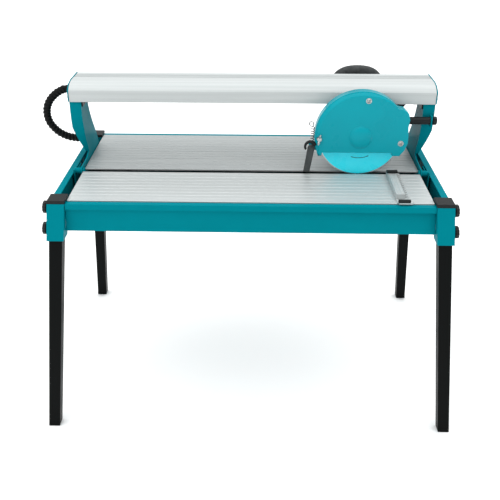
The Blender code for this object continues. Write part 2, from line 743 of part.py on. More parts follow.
def build_beam(bridge):
    """Hollow aluminium beam, open along its underside for the carriage, with its end plates."""
    outer = beam_outline()
    front = BEAM_Y + SHEET
    rear = BEAM_Y + BEAM_DEPTH - SHEET
    floor = BEAM_Z + SHEET
    top = BEAM_Z + BEAM_HEIGHT
    brow = BEAM_Z + BEAM_FACE
    inner = [
        (front, floor), (front, brow - 1 * MM), (front + 4 * MM, brow + 2.5 * MM),
        (front + 17 * MM, top - 7 * MM), (front + 39 * MM, top - SHEET), (rear, top - SHEET), (rear, floor),
    ]
    slot_low = BEAM_MIDDLE - BEAM_SLOT / 2
    slot_high = BEAM_MIDDLE + BEAM_SLOT / 2
    section = outer + [(slot_low, BEAM_Z), (slot_low, BEAM_Z + SHEET)] + inner
    section += [(slot_high, BEAM_Z + SHEET), (slot_high, BEAM_Z)]
    finish_part(plate([section], -BEAM_HALF, BEAM_HALF, "X"), "bridge_beam", "aluminium", bridge)

    for label, side in (("left", -1), ("right", 1)):
        low, high = sorted((side * (BEAM_HALF + GAP), side * END_PLATE_OUTER))
        end = plate([beam_outline(0.8 * MM)], low, high, "X")
        if side < 0:
            hole = rod((low - DEEP, GLAND_Y, GLAND_Z), (high + DEEP, GLAND_Y, GLAND_Z), 8 * MM)
            end = cut(end, hole)
        finish_part(end, "end_plate_" + label, "teal", bridge)


GLAND_Y = SLOT_Y + 100 * MM
GLAND_Z = TABLE_HEIGHT + 173 * MM


def build_conduit(bridge):
    """Cable and hose conduit that loops from the beam's end down to the left support."""
    face = -END_PLATE_OUTER - GAP
    profile = [
        (GLAND_RADIUS, 0), (GLAND_RADIUS, -6 * MM), (GLAND_RADIUS - 2 * MM, -GLAND_LENGTH),
        (7 * MM, -GLAND_LENGTH), (7 * MM, 0),
    ]
    gland = turned(profile, (face, GLAND_Y, GLAND_Z), (1, 0, 0), 24, ring=True)
    finish_part(smooth(gland), "cable_gland", "black_plastic", bridge)

    start = (face - GLAND_LENGTH - GAP, GLAND_Y, GLAND_Z)
    end = (-WEB_OUTER - GAP, GLAND_Y, TABLE_HEIGHT + 47 * MM)
    route = [(-WEB_OUTER - out * MM, GLAND_Y, TABLE_HEIGHT + up * MM) for out, up in (
        (48, 173), (66, 164), (83, 149), (94, 131), (98, 111), (95, 91),
        (85, 74), (70, 60), (50, 50.5), (28, 47), (13, 47),
    )]
    points = [start] + flowing(route, 2) + [end]
    curve = bpy.data.curves.new("conduit", "CURVE")
    curve.dimensions = "3D"
    curve.bevel_depth = CONDUIT_RADIUS
    curve.bevel_resolution = 3
    curve.use_fill_caps = True
    spline = curve.splines.new("POLY")
    spline.points.add(len(points) - 1)
    for point, place in zip(spline.points, points):
        point.co = (*place, 1)
    conduit = bpy.data.objects.new("conduit", curve)
    CUTTERS.objects.link(conduit)
    finish_part(as_mesh(conduit), "conduit", "rubber", bridge)


LOCK_LUG_X = WEB_INNER + LOCK_LUG_INSET
LOCK_SLEEVE_START = HEAD_X + 119 * MM


def lock_rod(start, end, radius):
    """A cylinder on the carriage lock's axis."""
    y = SLOT_Y + LOCK_BACK
    z = TABLE_HEIGHT + LOCK_HEIGHT
    return rod((start, y, z), (end, y, z), radius)


def build_lock(bridge):
    """Sleeve on the right support, and the screw that holds the parked head."""
    end = LOCK_LUG_X - GAP
    sleeve = cut(
        lock_rod(LOCK_SLEEVE_START, end, LOCK_RADIUS),
        lock_rod(LOCK_SLEEVE_START - DEEP, end + DEEP, LOCK_PIN_RADIUS + GAP),
    )
    finish_part(smooth(sleeve), "lock_sleeve", "black_plastic", bridge)
    knob_start = LOCK_LUG_X + SHEET + GAP
    knob = lock_rod(knob_start, knob_start + 12 * MM, 10.5 * MM)
    pin = lock_rod(LOCK_SLEEVE_START - 10 * MM, knob_start + 6 * MM, LOCK_PIN_RADIUS)
    axis_point = (knob_start, SLOT_Y + LOCK_BACK, TABLE_HEIGHT + LOCK_HEIGHT)
    finish_part(smooth(join(knob, pin)), "lock_screw", "black_plastic", bridge, axis_point)


# Head

def build_carriage(head):
    """Carriage in the beam's slot, with its four rollers."""
    top = BEAM_Z - 1 * MM
    base = top - CARRIAGE_HEIGHT
    outline = [
        (HEAD_X - CARRIAGE_LEFT, base), (HEAD_X + CARRIAGE_RIGHT - 12 * MM, base),
        (HEAD_X + CARRIAGE_RIGHT, top), (HEAD_X - CARRIAGE_LEFT, top),
    ]
    deck = plate([outline], BEAM_MIDDLE - 50 * MM, BEAM_MIDDLE + 50 * MM, "Y")
    axle_z = BEAM_Z + SHEET + ROLLER_RADIUS + GAP
    half_neck = BEAM_SLOT / 2 - 3 * MM
    neck = box(
        (HEAD_X - AXLE_SPACING / 2 - 16 * MM, HEAD_X + AXLE_SPACING / 2 + 16 * MM),
        (BEAM_MIDDLE - half_neck, BEAM_MIDDLE + half_neck),
        (top - 2 * MM, axle_z + 10 * MM),
    )
    axle_half = half_neck + 2 * MM + ROLLER_WIDTH + 2 * MM
    axles = []
    for side in (-1, 1):
        x = HEAD_X + side * AXLE_SPACING / 2
        ends = [(x, BEAM_MIDDLE + end * axle_half, axle_z) for end in (-1, 1)]
        axles.append(rod(*ends, AXLE_RADIUS))
    finish_part(join(deck, neck, *axles), "carriage", "black_plastic", head)

    profile = [
        (ROLLER_RADIUS, ROLLER_WIDTH / 2), (ROLLER_RADIUS, -ROLLER_WIDTH / 2),
        (AXLE_RADIUS + GAP, -ROLLER_WIDTH / 2), (AXLE_RADIUS + GAP, ROLLER_WIDTH / 2),
    ]
    for row, back in (("front", -1), ("rear", 1)):
        for label, side in (("left", -1), ("right", 1)):
            place = (
                HEAD_X + side * AXLE_SPACING / 2,
                BEAM_MIDDLE + back * (half_neck + 2 * MM + ROLLER_WIDTH / 2),
                axle_z,
            )
            roller = turned(profile, place, (0, 1, 0), 24, ring=True)
            finish_part(smooth(roller), f"roller_{row}_{label}", "steel", head)


GEARBOX_FRONT = SLOT_Y + GUARD_BACK + GAP
GEARBOX_REAR = GEARBOX_FRONT + GEARBOX_DEPTH
CARRIAGE_BASE = BEAM_Z - 1 * MM - CARRIAGE_HEIGHT


def build_drive(head):
    """Gear housing, motor, handle and switch."""
    half = GEARBOX_HALF_WIDTH
    z = SPINDLE_Z
    case = rod((HEAD_X, GEARBOX_FRONT, z), (HEAD_X, GEARBOX_REAR, z), half, 36)
    neck = box((HEAD_X - half, HEAD_X + half), (GEARBOX_FRONT, GEARBOX_REAR), (z, CARRIAGE_BASE - GAP))
    lug = box(
        (HEAD_X + half - 4 * MM, LOCK_SLEEVE_START - 6 * MM),
        (SLOT_Y + LOCK_BACK - 9 * MM, SLOT_Y + LOCK_BACK + 9 * MM),
        (TABLE_HEIGHT + LOCK_HEIGHT - 12 * MM, TABLE_HEIGHT + LOCK_HEIGHT + 12 * MM),
    )
    bore = rod((HEAD_X, GEARBOX_FRONT - DEEP, z), (HEAD_X, GEARBOX_REAR - 10 * MM, z), 10 * MM)
    lock_hole = lock_rod(LOCK_SLEEVE_START - 20 * MM, LOCK_SLEEVE_START + DEEP, LOCK_PIN_RADIUS + 0.5 * MM)
    gearbox = cut(join(case, neck, lug), bore, lock_hole)
    finish_part(smooth(gearbox), "gear_housing", "black_plastic", head)

    start = GEARBOX_REAR + GAP
    end = SLOT_Y + MOTOR_END
    body = turned([
        (0, end - start), (MOTOR_RADIUS - 7 * MM, end - start), (MOTOR_RADIUS, end - start - 7 * MM),
        (MOTOR_RADIUS, 0), (0, 0),
    ], (HEAD_X, start, z), (0, 1, 0), 36)
    base_top = z + MOTOR_RADIUS - 10 * MM
    base_y = (end - 46 * MM, end - 10 * MM)
    base_half = HANDLE_HALF_WIDTH + HANDLE_RADIUS - 2 * MM
    handle_x = HEAD_X + HANDLE_OFFSET
    base = box((handle_x - base_half, handle_x + base_half), base_y, (z - 6 * MM, base_top))
    pocket = box(
        (handle_x - 13 * MM, handle_x + 13 * MM),
        (base_y[0] + 8 * MM, base_y[1] - 8 * MM),
        (base_top - 10 * MM, base_top + DEEP),
    )
    finish_part(smooth(cut(join(body, base), pocket)), "motor_housing", "black_plastic", head)

    switch = box(
        (handle_x - 12.3 * MM, handle_x + 12.3 * MM),
        (base_y[0] + 8.7 * MM, base_y[1] - 8.7 * MM),
        (base_top - 10 * MM + SWITCH_TRAVEL + 0.8 * MM, base_top + SWITCH_TRAVEL + 1 * MM),
    )
    finish_part(switch, "switch_button", "rubber", head, (handle_x, sum(base_y) / 2, base_top))

    middle = sum(base_y) / 2
    foot = base_top + GAP
    crown = BEAM_Z + HANDLE_RISE
    half = HANDLE_HALF_WIDTH
    rise = crown - foot
    path = flowing([
        (-half + 2 * MM, 0), (-half, 0.25 * rise), (-half - 1 * MM, 0.5 * rise), (-0.9 * half, 0.78 * rise),
        (-0.55 * half, 0.95 * rise), (0, rise), (0.55 * half, 0.95 * rise), (0.9 * half, 0.78 * rise),
        (half + 1 * MM, 0.5 * rise), (half, 0.25 * rise), (half - 2 * MM, 0),
    ], 3)
    curve = bpy.data.curves.new("handle", "CURVE")
    curve.dimensions = "3D"
    curve.bevel_depth = HANDLE_RADIUS
    curve.bevel_resolution = 3
    curve.use_fill_caps = True
    spline = curve.splines.new("POLY")
    spline.points.add(len(path) - 1)
    for point, (x, height) in zip(spline.points, path):
        point.co = (handle_x + x, middle, foot + height, 1)
    source = bpy.data.objects.new("handle", curve)
    CUTTERS.objects.link(source)
    reach = half + HANDLE_RADIUS + DEEP
    below = box((handle_x - reach, handle_x + reach), (middle - DEEP, middle + DEEP), (foot - DEEP, foot))
    handle = cut(as_mesh(source), below)
    finish_part(smooth(handle), "handle", "black_plastic", head)


def guard_outline(shrink=0.0):
    """Outline of the blade guard about the spindle as (x, z), with an ear on its right."""
    radius = GUARD_RADIUS - shrink
    ear = GUARD_RADIUS + 5 * MM - shrink
    foot = -53 * MM
    points = arc((0, 0), radius, 205, 40, 30)
    points += [
        (0.87 * ear, 0.585 * ear), (0.955 * ear, 0.5 * ear), (0.985 * ear, 0.38 * ear),
        (0.968 * ear, 0.22 * ear), (0.985 * ear, 0.05 * ear), (0.99 * ear, -0.12 * ear),
        (0.94 * ear, -0.27 * ear), (0.865 * ear, -0.37 * ear),
    ]
    inner = GUARD_RADIUS - 30 * MM
    if shrink:
        return points + [(0.86 * ear, -0.9 * radius), (-0.9 * radius, -0.9 * radius)]
    return points + [
        (0.84 * ear, foot), (inner, foot), (inner - 2 * MM, -38 * MM), (-inner - 10 * MM, -38 * MM),
        (-inner - 12 * MM, foot), (-0.915 * radius, foot),
    ]


def build_guard(head):
    """Blade guard: a back plate on the gear housing and a front cover with a rim."""
    front = SLOT_Y - GUARD_FRONT
    back = SLOT_Y + GUARD_BACK
    outline = placed(guard_outline(), HEAD_X, SPINDLE_Z)
    cover = plate([outline], front, back - GUARD_WALL - GAP, "Y")
    inside = placed(guard_outline(GUARD_WALL), HEAD_X, SPINDLE_Z)
    hollow = plate([inside], front + GUARD_WALL, back + DEEP, "Y")
    bump = turned([
        (0, 5 * MM), (16 * MM, 5 * MM), (23 * MM, 2 * MM), (27 * MM, -1 * MM), (0, -1 * MM),
    ], (HEAD_X, front, SPINDLE_Z), (0, -1, 0), 32)
    relief = turned([
        (0, 2.6 * MM), (14 * MM, 2.6 * MM), (22 * MM, -1 * MM), (22 * MM, -GUARD_WALL - 2 * MM),
        (0, -GUARD_WALL - 2 * MM),
    ], (HEAD_X, front, SPINDLE_Z), (0, -1, 0), 32)
    finish_part(cut(join(cover, bump), hollow, relief), "guard_cover", "teal", head)

    arm = [(-119 * MM, -25 * MM), (-119 * MM, -42 * MM), (-99 * MM, -42 * MM), (-99 * MM, -25 * MM)]
    tab = plate([placed(arm, HEAD_X, SPINDLE_Z)], back - GUARD_WALL, back, "Y")
    panel = plate([outline], back - GUARD_WALL, back, "Y")
    hole_front = (HEAD_X, back - DEEP, SPINDLE_Z)
    hole_back = (HEAD_X, back + DEEP, SPINDLE_Z)
    spindle_hole = rod(hole_front, hole_back, FLANGE_RADIUS + 2 * MM, 32)
    finish_part(cut(join(panel, tab), spindle_hole), "guard_back", "teal", head)


def build_flap(head):
    """Rubber splash flap on a pin at the guard's left edge."""
    x, z = HEAD_X - GUARD_RADIUS - 6 * MM, SPINDLE_Z - 33 * MM
    half = 8.5 * MM
    low = TABLE_HEIGHT + 2 * MM
    lean = 8 * MM
    points = arc((x, z), half, 0, 180, 8) + [(x - half - lean, low), (x + half - lean - 2 * MM, low)]
    middle = SLOT_Y - FLAP_FORWARD
    flap = plate([points], middle - FLAP_THICKNESS / 2, middle + FLAP_THICKNESS / 2, "Y")
    pin = rod((x, middle, z), (x, SLOT_Y + GUARD_BACK - GUARD_WALL - GAP, z), 3 * MM, 16)
    finish_part(join(flap, pin), "splash_flap", "rubber", head, (x, middle, z))


def build_blade(head):
    """Spindle with its inner flange, the blade, and the outer flange with its nut."""
    half = BLADE_THICKNESS / 2
    flange = 4 * MM
    boss = 5 * MM
    rear = GEARBOX_REAR - SLOT_Y - 12 * MM
    spindle = turned([
        (0, rear), (9.6 * MM, rear), (9.6 * MM, GUARD_BACK), (FLANGE_RADIUS, GUARD_BACK - 3 * MM),
        (FLANGE_RADIUS, half + GAP), (ARBOR_RADIUS, half + GAP), (ARBOR_RADIUS, -half),
        (6 * MM, -half), (6 * MM, -half - boss - flange), (0, -half - boss - flange),
    ], SPINDLE, (0, 1, 0))
    finish_part(smooth(spindle), "spindle", "steel", head)

    disc = turned([
        (BLADE_RADIUS, half), (BLADE_RADIUS, -half), (BORE_RADIUS, -half), (BORE_RADIUS, half),
    ], SPINDLE, (0, 1, 0), 72, ring=True)
    finish_part(smooth(disc), "blade", "cyan", head)

    near = -half - GAP
    middle = near - flange
    far = -half - boss - flange
    bore = 6 * MM + GAP
    grip = 12 * MM
    nut = turned([
        (FLANGE_RADIUS, near), (FLANGE_RADIUS, middle), (grip, middle), (grip, far),
        (bore, far), (bore, near),
    ], SPINDLE, (0, 1, 0), ring=True)
    finish_part(smooth(nut), "blade_nut", "steel", head)


# Fence

def build_fence():
    """Side fence on the front plate: a ruled strip, a bar that turns on it and a clamp knob."""
    slide = joint_empty("fence_slide", (FENCE_X, SLOT_Y, TABLE_HEIGHT))
    floor = TABLE_HEIGHT + GAP
    half = FENCE_BAR_WIDTH / 2
    front = -FRAME_DEPTH / 2 + RAIL_INSET + RAIL_FLANGE
    strip_top = floor + FENCE_STRIP_HEIGHT
    strip = box(
        (FENCE_X - half, FENCE_X + half + FENCE_STRIP_WIDTH - 4 * MM),
        (front, SLOT_Y - SLOT_WIDTH / 2 - 2 * MM),
        (floor, strip_top),
    )
    clamp = box(
        (FENCE_X - 7 * MM, FENCE_X + half + FENCE_STRIP_WIDTH - 2 * MM),
        (front - 6 * MM, front + 5 * MM),
        (floor, floor + 7 * MM),
    )
    pin_y = SLOT_Y - FENCE_PIN_BACK
    bar_top = strip_top + GAP + FENCE_BAR_HEIGHT
    pin_top = bar_top + FENCE_PIN_RISE
    pin = rod((FENCE_X, pin_y, floor + MM), (FENCE_X, pin_y, pin_top), FENCE_PIN_RADIUS, 16)
    finish_part(join(strip, clamp, pin), "fence_base", "aluminium", slide)

    bar_y = (front + 20 * MM, SLOT_Y - SLOT_WIDTH / 2 - 1 * MM)
    bar = box((FENCE_X - half, FENCE_X + half), bar_y, (strip_top + GAP, bar_top))
    hole_radius = FENCE_PIN_RADIUS + GAP
    hole = rod((FENCE_X, pin_y, floor - DEEP), (FENCE_X, pin_y, bar_top + DEEP), hole_radius, 16)
    finish_part(cut(bar, hole), "fence_bar", "aluminium", slide, (FENCE_X, pin_y, bar_top))

    knob_x = (FENCE_X - FENCE_KNOB_LENGTH / 2, FENCE_X + FENCE_KNOB_LENGTH / 2)
    knob_y = (pin_y - FENCE_KNOB_WIDTH / 2, pin_y + FENCE_KNOB_WIDTH / 2)
    knob = box(knob_x, knob_y, (bar_top + GAP, bar_top + FENCE_KNOB_HEIGHT))
    knob_hole = rod((FENCE_X, pin_y, bar_top - DEEP), (FENCE_X, pin_y, pin_top + GAP), hole_radius, 16)
    finish_part(cut(knob, knob_hole), "fence_knob", "black_plastic", slide, (FENCE_X, pin_y, bar_top))


def build_saw():
    """Build every part."""
    for label, (side_x, side_y) in CORNERS.items():
        build_corner(label, side_x, side_y)
    build_rails()
    build_table()
    build_tray()
    bridge = joint_empty("bridge_tilt", PIVOT)
    for label, side in (("left", -1), ("right", 1)):
        build_support(label, side, bridge)
        build_pivot_bracket(label, side)
    build_beam(bridge)
    build_conduit(bridge)
    build_lock(bridge)
    head = joint_empty("head_slide", SPINDLE, bridge)
    build_carriage(head)
    build_drive(head)
    build_guard(head)
    build_flap(head)
    build_blade(head)
    build_fence()
    CUTTERS.hide_render = True


build_saw()
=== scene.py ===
"""Finished look of a bridge tile saw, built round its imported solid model.

Everything is in metres with +Z up. +X runs along the cut, to the operator's right, and the
operator stands at -Y. Each sub-assembly is a class with its sizes as fields; places come from
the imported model's boxes.
"""

import json
import logging
import math
from dataclasses import dataclass
from enum import Enum

import bmesh
import bpy
import numpy as np
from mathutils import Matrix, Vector


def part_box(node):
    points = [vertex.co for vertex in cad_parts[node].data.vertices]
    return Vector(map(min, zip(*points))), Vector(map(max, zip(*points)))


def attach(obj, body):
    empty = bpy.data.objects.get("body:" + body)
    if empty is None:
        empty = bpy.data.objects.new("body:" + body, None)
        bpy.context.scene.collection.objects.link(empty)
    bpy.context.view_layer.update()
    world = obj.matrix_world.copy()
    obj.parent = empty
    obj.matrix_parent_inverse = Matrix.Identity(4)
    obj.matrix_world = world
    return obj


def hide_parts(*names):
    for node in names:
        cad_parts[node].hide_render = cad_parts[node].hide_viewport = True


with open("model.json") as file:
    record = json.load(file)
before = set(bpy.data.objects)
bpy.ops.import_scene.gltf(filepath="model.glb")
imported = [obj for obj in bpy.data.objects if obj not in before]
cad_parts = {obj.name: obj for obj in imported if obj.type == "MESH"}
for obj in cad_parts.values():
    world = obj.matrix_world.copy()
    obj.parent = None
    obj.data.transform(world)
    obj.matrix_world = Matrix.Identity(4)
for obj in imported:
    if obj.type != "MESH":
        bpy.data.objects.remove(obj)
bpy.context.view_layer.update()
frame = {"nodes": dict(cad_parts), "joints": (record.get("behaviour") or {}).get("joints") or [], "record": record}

MM = 0.001
TAU = 2 * math.pi
LOG = logging.getLogger("tile_saw")
Piece = bpy.types.Object
Socket = bpy.types.NodeSocket
Pair = tuple[np.ndarray, np.ndarray]
Profile = list[tuple[float, float]]  # (radius, height) points
CRISP_ANGLE = 35  # degrees between faces, over which an edge stays crisp


class Axis(Enum):
    """An axis to draw along, with the two axes that a flat outline across it is drawn in."""

    X = (0, 1, 2)
    Y = (1, 0, 2)


# Finishes


def linear(colour: str) -> tuple[float, float, float, float]:
    """Linear red, green, blue and an alpha of one, from sRGB as six hex digits after a hash."""
    values = np.array([int(colour[i:i + 2], 16) for i in (1, 3, 5)]) / 255
    low = values / 12.92
    high = ((values + 0.055) / 1.055) ** 2.4
    red, green, blue = np.where(values <= 0.04045, low, high)
    return float(red), float(green), float(blue), 1.0


def add_node(tree: bpy.types.NodeTree, kind: str, inputs: dict | None = None, **settings) -> bpy.types.Node:
    """Add one shader node, with its settings, values and links.

    Args:
        tree: The material's node tree.
        kind: The node's type, without its ShaderNode prefix.
        inputs: Values or sockets to put into its inputs, by name or number.
        settings: Properties of the node.

    Returns:
        The new node.
    """
    node = tree.nodes.new("ShaderNode" + kind)
    for name, value in settings.items():
        setattr(node, name, value)
    for name, value in (inputs or {}).items():
        if isinstance(value, bpy.types.NodeSocket):
            tree.links.new(value, node.inputs[name])
        else:
            node.inputs[name].default_value = value
    return node


@dataclass(frozen=True)
class Shading:
    """One material's nodes while it is made, with the base colour and roughness that they vary."""

    tree: bpy.types.NodeTree
    shader: bpy.types.Node
    place: Socket
    colour: str
    roughness: float

    def pattern(self, size: float, stretch=(1.0, 1.0, 1.0), detail: float = 3.0) -> Socket:
        """A noise from 0 to 1, with blotches of a width in metres. Stretch makes it finer by axis."""
        mapped = add_node(self.tree, "Mapping", {"Vector": self.place, "Scale": stretch})
        return add_node(self.tree, "TexNoise", {
            "Vector": mapped.outputs[0], "Scale": 1 / size, "Detail": detail, "Roughness": 0.55,
        }).outputs[0]

    def feed(self, name: str, value: Socket) -> None:
        """Link a value to one of the shader's inputs."""
        self.tree.links.new(value, self.shader.inputs[name])

    def math(self, operation: str, first, second=0.0) -> Socket:
        """The result of an operation on one or two values."""
        return add_node(self.tree, "Math", {0: first, 1: second}, operation=operation).outputs[0]

    def ranged(self, value: Socket, start: float, end: float, low: float, high: float) -> Socket:
        """Carry the run from start to end over to the run from low to high, held beyond them."""
        return add_node(self.tree, "MapRange", {
            "Value": value, "From Min": start, "From Max": end, "To Min": low, "To Max": high,
        }).outputs[0]

    def mixed(self, share: Socket, first, second: str) -> Socket:
        """Mix a colour with a second one, given in hex."""
        return add_node(self.tree, "MixRGB", {
            "Fac": share, "Color1": first, "Color2": linear(second),
        }).outputs[0]

    def tint(self, amount: Socket, other: str, share: float) -> Socket:
        """Mix the base colour towards another, by up to a share, where a pattern is high."""
        mix = self.mixed(self.ranged(amount, 0.35, 0.7, 0.0, share), linear(self.colour), other)
        self.feed("Base Color", mix)
        return mix

    def vary(self, amount: Socket, spread: float) -> None:
        """Let the roughness go up and down by a spread as a pattern does."""
        rough = self.ranged(amount, 0.3, 0.7, self.roughness - spread, self.roughness + spread)
        self.feed("Roughness", rough)

    def relief(self, height: Socket, depth: float) -> None:
        """Bump the surface by a depth in metres, over edges softened to a real radius."""
        edge = add_node(self.tree, "Bevel", {"Radius": 0.5 * MM}, samples=4)
        bump = add_node(self.tree, "Bump", {
            "Height": height, "Distance": depth, "Strength": 1.0, "Normal": edge.outputs[0],
        })
        self.feed("Normal", bump.outputs[0])


@dataclass(frozen=True)
class Finish:
    """What every finish holds: a name, a base colour, and how rough, metallic and shiny it is."""

    name: str
    colour: str
    roughness: float
    metallic: float = 0.0
    specular: float = 0.3

    def material(self) -> bpy.types.Material:
        """Return the finish's material, making it the first time."""
        found = bpy.data.materials.get(self.name)
        if found is not None:
            return found
        made = bpy.data.materials.new(self.name)
        made.use_nodes = True
        tree = made.node_tree
        tree.nodes.clear()
        shader = add_node(tree, "BsdfPrincipled", {
            "Base Color": linear(self.colour), "Roughness": self.roughness, "Metallic": self.metallic,
            "Specular IOR Level": self.specular,
        })
        add_node(tree, "OutputMaterial", {"Surface": shader.outputs["BSDF"]})
        place = add_node(tree, "TexCoord").outputs["Object"]
        self.dress(Shading(tree, shader, place, self.colour, self.roughness))
        return made

    def dress(self, nodes: Shading) -> None:
        """Add the finish's own pattern. A plain finish has none."""


@dataclass(frozen=True)
class PowderCoat(Finish):
    """Sprayed and baked polyester powder: satin, with a faint orange peel and thin, paler patches."""

    dust: str = "#008C99"
    patch: float = 70 * MM
    peel: float = 3.5 * MM  # real peel is about 1.5 mm, drawn coarser so that it shows

    def dress(self, nodes: Shading) -> None:
        """Peel in the relief, slow patches in colour and gloss."""
        patches = nodes.pattern(self.patch)
        nodes.tint(patches, self.dust, 0.14)
        nodes.vary(patches, 0.06)
        nodes.relief(nodes.pattern(self.peel, detail=1.0), 0.06 * MM)


@dataclass(frozen=True)
class MouldedPlastic(Finish):
    """Injection-moulded nylon: satin, with an eroded grain and worn, paler spots."""

    worn: str = "#2E3334"
    spot: float = 22 * MM
    grain: float = 1.8 * MM  # real grain is about 0.5 mm, drawn coarser so that it shows

    def dress(self, nodes: Shading) -> None:
        """Grain in the relief, handling wear in colour and gloss."""
        wear = nodes.pattern(self.spot)
        nodes.tint(wear, self.worn, 0.18)
        nodes.vary(wear, 0.08)
        nodes.relief(nodes.pattern(self.grain, detail=2.0), 0.12 * MM)


@dataclass(frozen=True)
class Rubber(Finish):
    """Moulded rubber: dull and a little dusty."""

    dust: str = "#7A7C7A"
    fleck: float = 12 * MM
    skin: float = 2.5 * MM

    def dress(self, nodes: Shading) -> None:
        """Dust in the colour, a soft skin in the relief."""
        nodes.tint(nodes.pattern(self.fleck, detail=5.0), self.dust, 0.15)
        nodes.relief(nodes.pattern(self.skin), 0.15 * MM)


@dataclass(frozen=True)
class ExtrudedAluminium(Finish):
    """Anodised extrusion: long die lines along X vary its shade and gloss, and it stays satin."""

    shade: str = "#8E9494"
    line: float = 5 * MM  # real die lines are under 0.5 mm, drawn wider so that they show
    scratch: float = 1.5 * MM

    def dress(self, nodes: Shading) -> None:
        """Die lines eighty times longer than they are wide, with finer ones in the relief."""
        lines = nodes.pattern(self.line, (0.012, 1.0, 1.0), 5.0)
        nodes.tint(lines, self.shade, 0.6)
        nodes.vary(lines, 0.09)
        nodes.relief(nodes.pattern(self.scratch, (0.01, 1.0, 1.0)), 0.03 * MM)


@dataclass(frozen=True)
class ZincPlate(Finish):
    """Bright zinc on steel: crystals a few millimetres wide change its gloss, with dull bloom."""

    bloom: str = "#8C8F8C"
    cloud: float = 8 * MM
    crystal: float = 2 * MM
    pit: float = MM

    def dress(self, nodes: Shading) -> None:
        """Bloom in the colour, crystals in the gloss, pits in the relief."""
        nodes.tint(nodes.pattern(self.cloud), self.bloom, 0.35)
        nodes.vary(nodes.pattern(self.crystal), 0.1)
        nodes.relief(nodes.pattern(self.pit), 0.02 * MM)


@dataclass(frozen=True)
class PaintedDisc(Finish):
    """Blade lacquer on a steel core: painted to near the rim, with a printed arc for the turning way.

    The arc starts and ends at two distances to the sides of the spindle, each with a soft edge.
    """

    centre: tuple[float, float] = (0.0, 0.0)
    paint_radius: float = 97 * MM
    scuff: float = 18 * MM
    grit: float = 1.2 * MM
    worn: str = "#7FF4FF"
    bare: str = "#C9CDCE"
    ink: str = "#0C4F5C"
    arc_radius: float = 57 * MM
    arc_half_width: float = 0.9 * MM
    arc_start: float = -18 * MM
    arc_end: float = 25 * MM
    arc_edge: float = MM

    def dress(self, nodes: Shading) -> None:
        """Distance from the spindle decides paint or steel, and a narrow band holds the arc."""
        split = add_node(nodes.tree, "SeparateXYZ", {"Vector": nodes.place})
        across = nodes.math("SUBTRACT", split.outputs["X"], self.centre[0])
        up = nodes.math("SUBTRACT", split.outputs["Z"], self.centre[1])
        flat = add_node(nodes.tree, "CombineXYZ", {"X": across, "Z": up}).outputs[0]
        radius = add_node(nodes.tree, "VectorMath", {0: flat}, operation="LENGTH").outputs["Value"]
        bare = nodes.math("GREATER_THAN", radius, self.paint_radius)

        scratches = nodes.pattern(self.scuff, detail=6.0)
        painted = nodes.tint(scratches, self.worn, 0.12)
        off = nodes.math("ABSOLUTE", nodes.math("SUBTRACT", radius, self.arc_radius))
        band = nodes.math("LESS_THAN", off, self.arc_half_width)
        started = nodes.ranged(across, self.arc_start, self.arc_start + self.arc_edge, 0.0, 1.0)
        ended = nodes.ranged(across, self.arc_end - self.arc_edge, self.arc_end, 1.0, 0.0)
        below = nodes.math("LESS_THAN", up, 0.0)
        inked = started
        for factor in (ended, below, band):
            inked = nodes.math("MULTIPLY", inked, factor)
        final = nodes.mixed(bare, nodes.mixed(inked, painted, self.ink), self.bare)
        nodes.feed("Base Color", final)
        nodes.feed("Metallic", bare)
        nodes.vary(scratches, 0.07)
        nodes.relief(nodes.pattern(self.grit, detail=1.0), 0.02 * MM)


TEAL = PowderCoat("teal_powder_coat", "#007783", 0.34, specular=0.01)
GUARD_TEAL = PowderCoat("guard_powder_coat", "#0094A2", 0.3, specular=0.12, dust="#0AB0BE")
BLACK_COAT = PowderCoat("black_powder_coat", "#080A0A", 0.42, specular=0.06, dust="#121616")
CAST_BLACK = PowderCoat("cast_black_paint", "#1A1D1E", 0.48, specular=0.15, dust="#26292A")
TRAY_PLASTIC = MouldedPlastic("tray_polypropylene", "#084C55", 0.5, specular=0.2, worn="#11626E")
NYLON = MouldedPlastic("black_nylon", "#1B1E1F", 0.46, specular=0.15)
DARK_NYLON = MouldedPlastic("conduit_nylon", "#090B0B", 0.4, specular=0.1, worn="#1A1E1E")
GRIP_RUBBER = Rubber("grip_rubber", "#272B2D", 0.62)
FLAP_RUBBER = Rubber("flap_rubber", "#404546", 0.7)
PLATE = ExtrudedAluminium("table_extrusion", "#C0C5C5", 0.42, 0.4, shade="#ADB3B3")
# The rear plate is the same extrusion as the front one, with its colour and die-line tone made darker as painted
# shade for the beam's shadow and the dark reflections under the beam.
SHADED_REAR_PLATE = ExtrudedAluminium("rear_table_extrusion_painted_shade", "#AEB3B3", 0.42, 0.4, shade="#93999A")
BEAM = ExtrudedAluminium("beam_extrusion", "#BDC2C2", 0.5, 0.15, shade="#A9AFAF", line=9 * MM)
ZINC = ZincPlate("zinc_plate", "#AEB1B1", 0.28, 1.0)
WIRE = ZincPlate("spring_wire", "#5E6363", 0.34, 1.0, bloom="#3C4040")


# Surfaces


def numbered(rows: int, columns: int, ring: bool) -> np.ndarray:
    """Four point numbers for each quad of a grid with closed rows. A ring's last row joins its first."""
    index = np.arange(rows * columns).reshape(rows, columns)
    index = np.hstack([index, index[:, :1]])
    if ring:
        index = np.vstack([index, index[:1]])
    quads = [index[:-1, :-1], index[:-1, 1:], index[1:, 1:], index[1:, :-1]]
    return np.stack(quads, -1).reshape(-1, 4)


def placed(name: str, data: bpy.types.ID) -> Piece:
    """Put a mesh, a camera or a lamp into the scene."""
    made = bpy.data.objects.new(name, data)
    bpy.context.scene.collection.objects.link(made)
    return made


